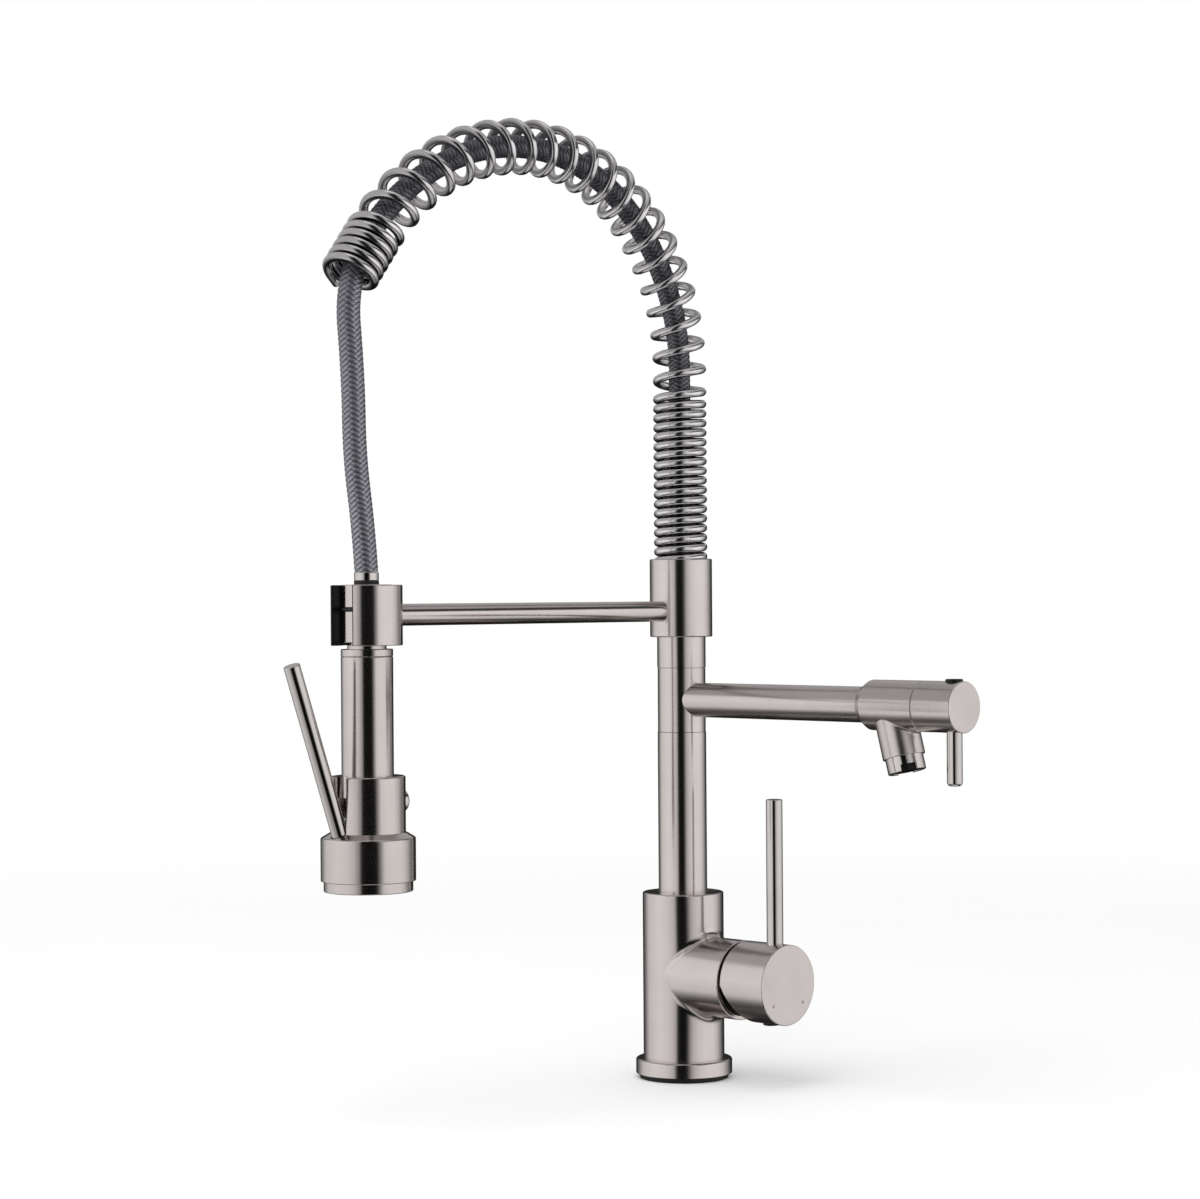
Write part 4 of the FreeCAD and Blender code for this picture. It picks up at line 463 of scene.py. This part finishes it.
def new_piece(name, vertices, faces, material, smooth=SMOOTH_EDGE):
    """New mesh piece with its finish, smooth up to an edge angle."""
    mesh = bpy.data.meshes.new(name)
    mesh.from_pydata(vertices, [], faces)
    mesh.validate()
    mesh.shade_smooth()
    mesh.set_sharp_from_angle(angle=smooth)
    mesh.materials.append(material)
    piece = bpy.data.objects.new(name, mesh)
    bpy.context.scene.collection.objects.link(piece)
    return piece


def grid_faces(rows, columns, closed=False):
    """Quads of a grid whose columns go round, with its rows joined end to end if closed."""
    faces = []
    for row in range(rows if closed else rows - 1):
        here = row * columns
        after = (row + 1) % rows * columns
        for column in range(columns):
            beside = (column + 1) % columns
            faces.append((here + column, here + beside, after + beside, after + column))
    return faces


def set_grid_uv(mesh, columns, heights):
    """UV of a round grid: once round across, and the height along."""
    layer = mesh.uv_layers.new(name="UVMap")
    for polygon in mesh.polygons:
        spots = [divmod(mesh.loops[loop].vertex_index, columns) for loop in polygon.loop_indices]
        at_seam = any(column == columns - 1 for row, column in spots)
        for loop, (row, column) in zip(polygon.loop_indices, spots):
            across = 1.0 if at_seam and column == 0 else column / columns
            layer.data[loop].uv = (across, heights[row])


def end_faces(rows, columns):
    """Faces that close the first and the last row of a round grid."""
    return [tuple(reversed(range(columns))), tuple(range((rows - 1) * columns, rows * columns))]


def circle(radius, sides, height):
    """Level circle of points round the column's axis."""
    turns = [TURN * side / sides for side in range(sides)]
    return [Vector((radius * math.cos(turn), radius * math.sin(turn), height)) for turn in turns]


def ring_frames(points):
    """Two directions square to the path at each of its points, carried along without twist."""
    frames = []
    side = X
    for index in range(len(points)):
        before = points[max(index - 1, 0)]
        after = points[min(index + 1, len(points) - 1)]
        heading = (after - before).normalized()
        side = (side - heading * side.dot(heading)).normalized()
        frames.append((side, heading.cross(side)))
    return frames


def path_distances(points):
    """Distance along a path at each of its points."""
    distances = [0.0]
    for start, end in zip(points, points[1:]):
        distances.append(distances[-1] + (end - start).length)
    return distances


def tube(name, points, sides, radius, material):
    """Closed tube along points, where radius gives its size by distance and angle."""
    distances = path_distances(points)
    vertices = []
    for point, (side, up), distance in zip(points, ring_frames(points), distances):
        for column in range(sides):
            turn = TURN * column / sides
            vertices.append(point + (side * math.cos(turn) + up * math.sin(turn)) * radius(distance, turn))
    rows = len(points)
    faces = grid_faces(rows, sides) + end_faces(rows, sides)
    piece = new_piece(name, vertices, faces, material)
    set_grid_uv(piece.data, sides, distances)
    return piece


class Spring:
    """Line of the spring's wire, closed on the column, open over the arch and closed at its mouth."""

    def __init__(self, sizes):
        self.sizes = sizes
        self.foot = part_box("hose_swivel")[0].z
        self.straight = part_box("bracket_sleeve")[1].z + sizes.rise - self.foot
        self.back = sizes.back_radius * math.pi / 2
        self.front = sizes.front_radius * sizes.front_turn
        self.turns = sizes.closed_turns + sizes.open_turns + sizes.mouth_turns

    def axis(self, distance):
        """Point of the coil's axis and its angle off vertical."""
        sizes = self.sizes
        top = self.foot + self.straight
        if distance <= self.straight:
            return Vector((0, 0, self.foot + distance)), 0.0
        if distance <= self.straight + self.back:
            lean = (distance - self.straight) / sizes.back_radius
            return Vector((0, math.cos(lean) - 1, math.sin(lean))) * sizes.back_radius + Z * top, lean
        past = min(distance - self.straight - self.back, self.front) / sizes.front_radius
        crown = Vector((0, -sizes.back_radius, top + sizes.back_radius))
        bend = crown + Vector((0, -math.sin(past), math.cos(past) - 1)) * sizes.front_radius
        lean = math.pi / 2 + past
        beyond = max(0.0, distance - self.straight - self.back - self.front)
        return bend + Vector((0, -math.sin(lean), math.cos(lean))) * beyond, lean

    def opened(self, turn):
        """Nothing at a closed turn, one at an open turn."""
        along = turn - self.sizes.closed_turns
        return max(0.0, min(1.0, along, self.sizes.open_turns - along))

    def pitch(self, turn):
        """Pitch at a turn, growing along the open part."""
        sizes = self.sizes
        closed = sizes.wire + sizes.gap
        total = self.straight + self.back + self.front + sizes.mouth
        room = total - (sizes.closed_turns + sizes.mouth_turns + 1) * closed - sizes.wire
        along = turn - sizes.closed_turns
        wide = room / (sizes.open_turns - 1) + sizes.growth * (along / sizes.open_turns - 0.5)
        return closed + (wide - closed) * self.opened(turn)

    def points(self):
        """Points along the wire, with a straight tail at both ends, and the way of the coil at each."""
        sizes = self.sizes
        distance = sizes.wire / 2 + sizes.gap
        line, headings = [], []
        for step in range(sizes.steps * self.turns + 1):
            turn = step / sizes.steps
            middle, lean = self.axis(distance)
            out = Vector((0, math.cos(lean), math.sin(lean)))
            spin = TURN * turn + sizes.start
            line.append(middle + (X * math.cos(spin) + out * math.sin(spin)) * (sizes.coil / 2))
            headings.append(Vector((0, -math.sin(lean), math.cos(lean))))
            distance += self.pitch(turn + 0.5 / sizes.steps) / sizes.steps
        first = (line[0] - line[1]).normalized() * sizes.wire
        last = (line[-1] - line[-2]).normalized() * sizes.wire
        inner = 1 - TAIL_CHAMFER
        line = ([line[0] + first, line[0] + first * inner] + line
                + [line[-1] + last * inner, line[-1] + last])
        return line, headings[:1] * TAIL_POINTS + headings + headings[-1:] * TAIL_POINTS


class FAUCET_OT_add_spring(bpy.types.Operator):
    """Coil spring that carries the hose"""
    bl_idname = "faucet.add_spring"
    bl_label = "Add Spring"

    def execute(self, context):
        sizes = context.scene.faucet_spring
        colours = context.scene.faucet_colours
        spring = Spring(sizes)
        points, headings = spring.points()
        total = path_distances(points)[-1]
        radius = sizes.wire / 2

        def size(distance, turn):
            at_end = min(distance, total - distance) < SAME_PLACE
            return radius * (TAIL_FACE if at_end else 1.0)

        material = spring_metal("Spring Nickel", colours.spring, colours.drawn)
        piece = tube("coil_spring", points, sizes.sides, size, material)
        # Painted shade: how far each point of the wire faces the next turn along the coil, lessened on the
        # open turns
        flank = piece.data.attributes.new("flank", "FLOAT", "POINT")
        for index, vertex in enumerate(piece.data.vertices):
            row = index // sizes.sides
            facing = abs((vertex.co - points[row]).normalized().dot(headings[row]))
            opened = spring.opened((row - TAIL_POINTS) / sizes.steps)
            flank.data[index].value = facing * (1 - sizes.painted_shading * opened)
        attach(piece, "spout")
        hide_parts("spring")
        return {"FINISHED"}


class Braid:
    """Two families of strands that cross two over and two under."""

    def __init__(self, sizes):
        self.sizes = sizes

    def crown(self, distance, turn):
        """Height of the braid from its gaps, nothing, to a strand's crown, one."""
        around = turn / TURN * self.sizes.strands
        along = distance / self.sizes.lay
        right = around + along
        left = around - along
        over = (math.floor(right) + math.floor(left)) % (2 * STRANDS_OVER) < STRANDS_OVER
        across = right if over else left
        under = left if over else right
        lift = max(0.0, math.sin(math.pi * (across % 1.0))) ** STRAND_FULLNESS
        return lift * (1 - STRAND_DIP + STRAND_DIP * math.sin(math.pi * (under % 1.0)))


def route_points(name, route, steps):
    """Points read from the smooth NURBS line of a route."""
    line = bpy.data.curves.new(name, "CURVE")
    line.dimensions = "3D"
    spline = line.splines.new("NURBS")
    spline.points.add(len(route) - 1)
    for point, (reach, height) in zip(spline.points, route):
        point.co = (0, -reach, height, 1)
    spline.order_u = 3
    spline.use_endpoint_u = True
    spline.resolution_u = steps
    carrier = bpy.data.objects.new(name, line)
    bpy.context.scene.collection.objects.link(carrier)
    mesh = bpy.data.meshes.new_from_object(carrier)
    points = [vertex.co.copy() for vertex in mesh.vertices]
    bpy.data.meshes.remove(mesh)
    bpy.data.objects.remove(carrier)
    bpy.data.curves.remove(line)
    return points


class FAUCET_OT_add_hose(bpy.types.Operator):
    """Braided hose from the column to the spray head"""
    bl_idname = "faucet.add_hose"
    bl_label = "Add Hose"

    def execute(self, context):
        sizes = context.scene.faucet_hose
        colours = context.scene.faucet_colours
        points = route_points("hose_line", HOSE_ROUTE, sizes.steps)
        braid = Braid(sizes)

        def size(distance, turn):
            return sizes.diameter / 2 - sizes.relief * (1 - braid.crown(distance, turn))

        material = braided("Hose Braid", colours.braid, colours.braid_gap)
        piece = tube("braided_hose", points, sizes.sides, size, material)
        distances = path_distances(points)
        crown = piece.data.attributes.new("crown", "FLOAT", "POINT")
        shade = piece.data.attributes.new("shade", "FLOAT", "POINT")
        for index in range(len(piece.data.vertices)):
            row, column = divmod(index, sizes.sides)
            crown.data[index].value = braid.crown(distances[row], TURN * column / sizes.sides)
            # Painted shade: the hose darkens past its free length, where it runs inside the spring
            inside = min(1.0, max(0.0, (distances[-1] - distances[row] - sizes.free) / sizes.fade))
            shade.data[index].value = 1.0 + (sizes.shade - 1.0) * inside
        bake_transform(piece)
        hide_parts("spray_hose")
        return {"FINISHED"}


class FAUCET_OT_add_shank(bpy.types.Operator):
    """Threaded shank below the deck"""
    bl_idname = "faucet.add_shank"
    bl_label = "Add Shank"

    def execute(self, context):
        sizes = context.scene.faucet_shank
        low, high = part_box("mounting_shank")
        outer = sizes.outside / 2
        bore = sizes.bore / 2
        spigot = sizes.spigot / 2
        shoulder = high.z - sizes.spigot_length
        start = low.z + sizes.depth
        end = -sizes.pilot_length - sizes.runout
        steps = math.ceil((end - start) / sizes.pitch * THREAD_ROWS)
        rows = [(bore, low.z, 0), (outer - sizes.depth, low.z, 0)]
        rows += [(outer, start + (end - start) * step / steps, 1) for step in range(steps + 1)]
        rows += [(outer - sizes.depth, end, 0), (outer - sizes.depth, -sizes.pilot_length, 0),
                 (sizes.pilot / 2, -sizes.pilot_length, 0), (sizes.pilot / 2, 0, 0), (outer, 0, 0),
                 (outer, shoulder, 0), (spigot, shoulder, 0), (spigot, high.z, 0), (bore, high.z, 0)]
        vertices = []
        for radius, height, threaded in rows:
            for column in range(sizes.sides):
                turn = column / sizes.sides
                flank = abs(2 * ((height / sizes.pitch - turn) % 1.0) - 1)
                reach = radius - threaded * sizes.depth * flank
                vertices.append((reach * math.cos(TURN * turn), reach * math.sin(TURN * turn), height))
        faces = grid_faces(len(rows), sizes.sides, closed=True)
        material = turned_metal("Shank Brass", context.scene.faucet_colours.brass, BRASS_ROUGHNESS)
        piece = new_piece("threaded_shank", vertices, faces, material, THREAD_EDGE)
        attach(piece, "base")
        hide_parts("mounting_shank")
        return {"FINISHED"}


class FAUCET_OT_add_marks(bpy.types.Operator):
    """Small hot and cold dots on the face of the mixer handle"""
    bl_idname = "faucet.add_marks"
    bl_label = "Add Marks"

    def execute(self, context):
        sizes = context.scene.faucet_marks
        colours = context.scene.faucet_colours
        low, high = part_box("handle_cap")
        middle = Vector((high.x, 0, (low.z + high.z) / 2))
        radius = sizes.diameter / 2
        profile = [(radius, -sizes.proud), (radius, sizes.proud / 2), (radius * DOT_TOP, sizes.proud)]
        for name, tint, side in (("hot_dot", colours.hot, -1), ("cold_dot", colours.cold, 1)):
            centre = middle + Vector((0, side * sizes.aside, -sizes.below))
            vertices = []
            for reach, lift in profile:
                for column in range(sizes.sides):
                    turn = TURN * column / sizes.sides
                    vertices.append(centre + Vector((lift, reach * math.cos(turn), reach * math.sin(turn))))
            faces = grid_faces(len(profile), sizes.sides) + end_faces(len(profile), sizes.sides)
            piece = new_piece(name, vertices, faces, moulded(name, tint, **DOT_FINISH))
            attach(piece, "mixer_handle")
        return {"FINISHED"}


class FAUCET_OT_finish_nickel(bpy.types.Operator):
    """Brushed and polished nickel of the outside pieces"""
    bl_idname = "faucet.finish_nickel"
    bl_label = "Finish Nickel"

    def execute(self, context):
        colours = context.scene.faucet_colours
        satin = colours.satin
        cross = satin * CROSS_ROUGHNESS
        finishes = (
            (UPRIGHT_NICKEL, "Body Nickel", colours.nickel, satin, "Z", SATIN_GRAIN),
            (CROSS_NICKEL, "Cross Nickel", colours.nickel, cross, "X", SATIN_GRAIN),
            (ROD_NICKEL, "Rod Nickel", colours.bracket_nickel, satin, "Y", SATIN_GRAIN),
            (BRACKET_NICKEL, "Bracket Nickel", colours.bracket_nickel, satin, "Z", SATIN_GRAIN),
            (SPRAY_NICKEL, "Spray Nickel", colours.spray_nickel, satin, "Z", SATIN_GRAIN),
            (POLISHED, "Polished Nickel", colours.polished, colours.gloss, "Z", POLISHED_GRAIN),
        )
        for nodes, name, tint, roughness, axis, grain in finishes:
            finish_nodes(nodes, brushed_metal(name, tint, roughness, axis, grain))
        return {"FINISHED"}


class FAUCET_OT_finish_mouldings(bpy.types.Operator):
    """Rubber seals and moulded plastic pieces"""
    bl_idname = "faucet.finish_mouldings"
    bl_label = "Finish Mouldings"

    def execute(self, context):
        colours = context.scene.faucet_colours
        finish_nodes(RUBBER, moulded("Rubber", colours.rubber, **RUBBER_FINISH))
        finish_nodes(BLACK_PLASTIC, moulded("Black Plastic", colours.black_plastic, **BLACK_FINISH))
        finish_nodes(GREY_PLASTIC, moulded("Grey Plastic", colours.grey_plastic, **GREY_FINISH))
        return {"FINISHED"}


class FAUCET_OT_finish_inside(bpy.types.Operator):
    """Bare brass and steel of the working pieces"""
    bl_idname = "faucet.finish_inside"
    bl_label = "Finish Working Pieces"

    def execute(self, context):
        colours = context.scene.faucet_colours
        finish_nodes(BRASS, turned_metal("Turned Brass", colours.brass, BRASS_ROUGHNESS))
        # Painted shade: the nuts are near black so that the gaps they show through look dark
        finish_nodes(GAP_SHADE_NUTS, turned_metal("Gap Shade Brass", colours.gap_shade, GAP_SHADE_ROUGHNESS))
        finish_nodes(STEEL, turned_metal("Bright Steel", colours.steel, STEEL_ROUGHNESS))
        return {"FINISHED"}


def larger(tree, first, second):
    """The larger of two values."""
    node = add_node(tree, "ShaderNodeMath", {0: first, 1: second}, operation="MAXIMUM")
    return node.outputs["Value"]


def ray_kinds(tree):
    """One where a ray comes from the camera, a reflection or a clear surface."""
    rays = add_node(tree, "ShaderNodeLightPath").outputs
    seen = larger(tree, rays["Is Camera Ray"], rays["Is Glossy Ray"])
    return larger(tree, seen, rays["Is Transmission Ray"])


def white_world(settings):
    """White surround, with less light on matt surfaces than it shows."""
    world = bpy.data.worlds.new("Studio")
    world.use_nodes = True
    tree = world.node_tree
    strength = spread(tree, ray_kinds(tree), low=settings.sky, high=1.0)
    tree.links.new(strength, tree.nodes["Background"].inputs["Strength"])
    tree.nodes["Background"].inputs["Color"].default_value = (1, 1, 1, 1)
    bpy.context.scene.world = world


def stage_piece(name, corners, faces, material):
    """Piece of the studio."""
    mesh = bpy.data.meshes.new(name)
    mesh.from_pydata(corners, [], faces)
    mesh.materials.append(material)
    piece = bpy.data.objects.new(name, mesh)
    bpy.context.scene.collection.objects.link(piece)
    return piece


def stage_plane(name, corners, material):
    """Flat piece of the studio."""
    return stage_piece(name, corners, [tuple(range(len(corners)))], material)


def show_only_reflected(piece):
    """Hides a piece of the studio from all but the metal."""
    piece.visible_camera = False
    piece.visible_diffuse = False
    piece.visible_transmission = False
    piece.visible_shadow = False


def node_of(tree, kind):
    """First node of a kind."""
    return next(node for node in tree.nodes if node.type == kind)


def clear(tree):
    """Shader of a surface that light passes."""
    return add_node(tree, "ShaderNodeBsdfTransparent").outputs["BSDF"]


def show_mix(tree, share_of_second, first, second):
    """Shows a mix of two shaders on a material."""
    mix = add_node(tree, "ShaderNodeMixShader", {"Fac": share_of_second, 1: first, 2: second})
    tree.links.new(mix.outputs["Shader"], node_of(tree, "OUTPUT_MATERIAL").inputs["Surface"])


def deck_floor(settings):
    """Pale deck that fades into the white surround, clear from below."""
    material, tree, shader = new_finish("Deck", Roughness=0.9, Specular_IOR_Level=0.0)
    shader.inputs["Emission Color"].default_value = (1, 1, 1, 1)
    clouds = noise(tree, even(9.0), detail=2.0)
    spots = ramp(tree, clouds, [(0.2, shaded(settings.floor, 0.985)), (0.8, settings.floor)])
    tree.links.new(spots, shader.inputs["Base Color"])
    white = spread(tree, ray_kinds(tree), low=0.0, high=settings.floor_glow)
    tree.links.new(white, shader.inputs["Emission Strength"])
    place = add_node(tree, "ShaderNodeTexCoord").outputs["Object"]
    far = add_node(tree, "ShaderNodeVectorMath", {0: place}, operation="LENGTH").outputs["Value"]
    reach = {"Value": far, "From Min": DECK_CLEARS_FROM, "From Max": DECK_CLEARS_TO}
    fade = add_node(tree, "ShaderNodeMapRange", reach, interpolation_type="SMOOTHSTEP").outputs["Result"]
    below = add_node(tree, "ShaderNodeNewGeometry").outputs["Backfacing"]
    show_mix(tree, larger(tree, fade, below), shader.outputs["BSDF"], clear(tree))
    return stage_plane("deck", circle(settings.floor_radius, DECK_SIDES, 0), material)


def glow(name, light):
    """Material that only gives light, at a level or as a function makes it from the node tree."""
    material = bpy.data.materials.new(name)
    material.use_nodes = True
    tree = material.node_tree
    tree.nodes.clear()
    level = light(tree) if callable(light) else opaque((light, light, light))
    emission = add_node(tree, "ShaderNodeEmission", {"Color": level})
    add_node(tree, "ShaderNodeOutputMaterial", {"Surface": emission.outputs["Emission"]})
    return material


def grey_stops(stops, whole):
    """Stops of a grey ramp, from (degrees, level) pairs about the middle of a whole range."""
    return [(0.5 + degrees / whole, (level, level, level)) for degrees, level in stops]


def tent_light(tree):
    """Light of the tent, by the way round from the camera and by the rise from the horizon."""
    place = add_node(tree, "ShaderNodeTexCoord").outputs["Object"]
    around = add_node(tree, "ShaderNodeTexGradient", {"Vector": place}, gradient_type="RADIAL").outputs["Fac"]
    heading = add_node(tree, "ShaderNodeVectorMath", {0: place}, operation="NORMALIZE").outputs["Vector"]
    height = add_node(tree, "ShaderNodeSeparateXYZ", {"Vector": heading}).outputs["Z"]
    rise = add_node(tree, "ShaderNodeMath", {0: height}, operation="ARCSINE").outputs["Value"]
    span = {"Value": rise, "From Min": -math.pi / 2, "From Max": math.pi / 2}
    lift = add_node(tree, "ShaderNodeMapRange", span).outputs["Result"]
    wall = ramp(tree, around, grey_stops(TENT_WALL, 360))
    belt = ramp(tree, lift, grey_stops(TENT_WALL_RISE, 180))
    roof = ramp(tree, lift, grey_stops(TENT_ROOF_RISE, 180))
    both = add_node(tree, "ShaderNodeVectorMath", {0: wall, 1: belt, 2: roof}, operation="MULTIPLY_ADD")
    return both.outputs["Vector"]


def tent_card(name, centre, across, up, material):
    """Card of the tent from its centre and two half edges."""
    ways = ((-1, -1), (1, -1), (1, 1), (-1, 1))
    corners = [centre + across * aside + up * above for aside, above in ways]
    show_only_reflected(stage_plane(name, corners, material))


def faded(name, centre, across, cover):
    """Dark material that clears towards both sides of a card, from its centre and half edge."""
    material = glow(name, SLOT_LIGHT)
    tree = material.node_tree
    way = across.normalized()
    middle = way.dot(centre)
    half = across.length
    place = add_node(tree, "ShaderNodeTexCoord").outputs["Object"]
    along = add_node(tree, "ShaderNodeVectorMath", {0: place, 1: way}, operation="DOT_PRODUCT")
    span = {"Value": along.outputs["Value"], "From Min": middle - half, "From Max": middle + half}
    over = add_node(tree, "ShaderNodeMapRange", span).outputs["Result"]
    veil = ramp(tree, over, [(level, (shade, shade, shade)) for level, shade in cover])
    show_mix(tree, veil, clear(tree), node_of(tree, "EMISSION").outputs["Emission"])
    return material


def dark_slot(name, centre, across, cover, finish):
    """Upright dark card that clears towards both sides."""
    tent_card(name, centre, across, Z, faded(finish, centre, across, cover))


def dark_skirt():
    """Dark cover round the pieces below the deck, clear from inside, so that the body doesn't show them."""
    material = glow("Dark Skirt", SKIRT_LIGHT)
    tree = material.node_tree
    inside = add_node(tree, "ShaderNodeNewGeometry").outputs["Backfacing"]
    show_mix(tree, inside, node_of(tree, "EMISSION").outputs["Emission"], clear(tree))
    corners = []
    for radius, height in SKIRT_ROWS:
        corners += circle(radius, SKIRT_SIDES, height)
    faces = grid_faces(len(SKIRT_ROWS), SKIRT_SIDES)
    show_only_reflected(stage_piece("dark_skirt", corners, faces, material))


def light_tent(settings, forward, right):
    """White tent round the faucet with dark slots before the camera and cards, seen only in the metal."""
    corners = []
    for ring in range(TENT_RINGS + 1):
        lift = math.pi * (ring / TENT_RINGS - 0.5)
        radius = settings.tent_radius * math.cos(lift)
        corners += circle(radius, TENT_SIDES, settings.tent_radius * math.sin(lift))
    faces = grid_faces(TENT_RINGS + 1, TENT_SIDES)
    tent = stage_piece("light_tent", corners, faces, glow("Tent", tent_light))
    tent.location = TENT_MIDDLE
    tent.rotation_euler.z = settings.azimuth - math.pi / 2
    show_only_reflected(tent)
    level = Z * TENT_MIDDLE.z
    far = level - forward * settings.slot_distance - right * settings.slot_aside
    dark_slot("dark_slot", far, right * (settings.slot_width / 2), SLOT_COVER, "Dark Slot")
    near = level - forward * settings.near_distance + right * settings.near_aside
    dark_slot("near_slot", near, right * (settings.near_width / 2), NEAR_COVER, "Near Slot")
    papers = {name: glow(name, light) for name, light in CARD_LIGHT.items()}
    for name, paper, start, (aside, ahead, above), (across, along), rise in TENT_CARDS:
        centre = start + right * aside + forward * ahead + Z * above
        tent_card(name, centre, right * across + forward * along, Z * rise, papers[paper])
    dark_skirt()


def add_softbox(name, place, target, size, power):
    """Large square area lamp aimed at a point."""
    lamp = bpy.data.lights.new(name, "AREA")
    lamp.shape = "SQUARE"
    lamp.size = size
    lamp.energy = power
    holder = bpy.data.objects.new(name, lamp)
    holder.location = place
    holder.rotation_euler = (target - place).to_track_quat("-Z", "Y").to_euler()
    holder.visible_glossy = False
    bpy.context.scene.collection.objects.link(holder)


def add_camera(settings, forward, right):
    """Level camera at the picture's angle."""
    data = bpy.data.cameras.new("camera")
    data.lens = settings.lens
    data.sensor_width = SENSOR_WIDTH
    data.shift_y = settings.shift
    camera = bpy.data.objects.new("camera", data)
    place = -forward * settings.distance - right * settings.aside + Z * settings.height
    turn = forward.to_track_quat("-Z", "Y").to_matrix().to_4x4()
    camera.matrix_world = Matrix.Translation(place) @ turn @ Matrix.Rotation(settings.roll, 4, "Z")
    bpy.context.scene.collection.objects.link(camera)
    bpy.context.scene.camera = camera


class FAUCET_OT_set_stage(bpy.types.Operator):
    """Pale deck, soft light and camera"""
    bl_idname = "faucet.set_stage"
    bl_label = "Set Stage"

    def execute(self, context):
        settings = context.scene.faucet_studio
        forward = Vector((-math.sin(settings.azimuth), math.cos(settings.azimuth), 0))
        right = forward.cross(Z)
        context.scene.view_settings.view_transform = "Standard"
        white_world(settings)
        deck_floor(settings).visible_glossy = False
        light_tent(settings, forward, right)
        add_softbox("key_softbox", KEY_PLACE, KEY_TARGET, KEY_SIZE, settings.key)
        add_camera(settings, forward, right)
        return {"FINISHED"}


class FAUCET_PT_panel(bpy.types.Panel):
    """Steps that dress the faucet"""
    bl_idname = "FAUCET_PT_panel"
    bl_label = "Faucet"
    bl_space_type = "VIEW_3D"
    bl_region_type = "UI"
    bl_category = "Faucet"

    def draw(self, context):
        for step in STEPS:
            self.layout.operator(step.bl_idname)
        for name, group in GROUPS.items():
            box = self.layout.box()
            for key in group.__annotations__:
                box.prop(getattr(context.scene, name), key)


STEPS = (FAUCET_OT_finish_nickel, FAUCET_OT_finish_mouldings, FAUCET_OT_finish_inside, FAUCET_OT_add_spring,
         FAUCET_OT_add_hose, FAUCET_OT_add_shank, FAUCET_OT_add_marks, FAUCET_OT_set_stage)
GROUPS = {"faucet_spring": SpringSizes, "faucet_hose": HoseSizes, "faucet_shank": ShankSizes,
          "faucet_marks": MarkSizes, "faucet_colours": FinishColours, "faucet_studio": StudioSettings}


def register():
    """Registers the settings, the steps and the panel."""
    for group in GROUPS.values():
        bpy.utils.register_class(group)
    for name, group in GROUPS.items():
        setattr(bpy.types.Scene, name, PointerProperty(type=group))
    for step in STEPS:
        bpy.utils.register_class(step)
    bpy.utils.register_class(FAUCET_PT_panel)


def unregister():
    """Takes the panel, the steps and the settings away again."""
    bpy.utils.unregister_class(FAUCET_PT_panel)
    for step in reversed(STEPS):
        bpy.utils.unregister_class(step)
    for name, group in GROUPS.items():
        delattr(bpy.types.Scene, name)
        bpy.utils.unregister_class(group)


def main():
    """Dresses the faucet."""
    register()
    bpy.ops.faucet.finish_nickel()
    bpy.ops.faucet.finish_mouldings()
    bpy.ops.faucet.finish_inside()
    bpy.ops.faucet.add_spring()
    bpy.ops.faucet.add_hose()
    bpy.ops.faucet.add_shank()
    bpy.ops.faucet.add_marks()
    bpy.ops.faucet.set_stage()


if __name__ == "__main__":
    main()
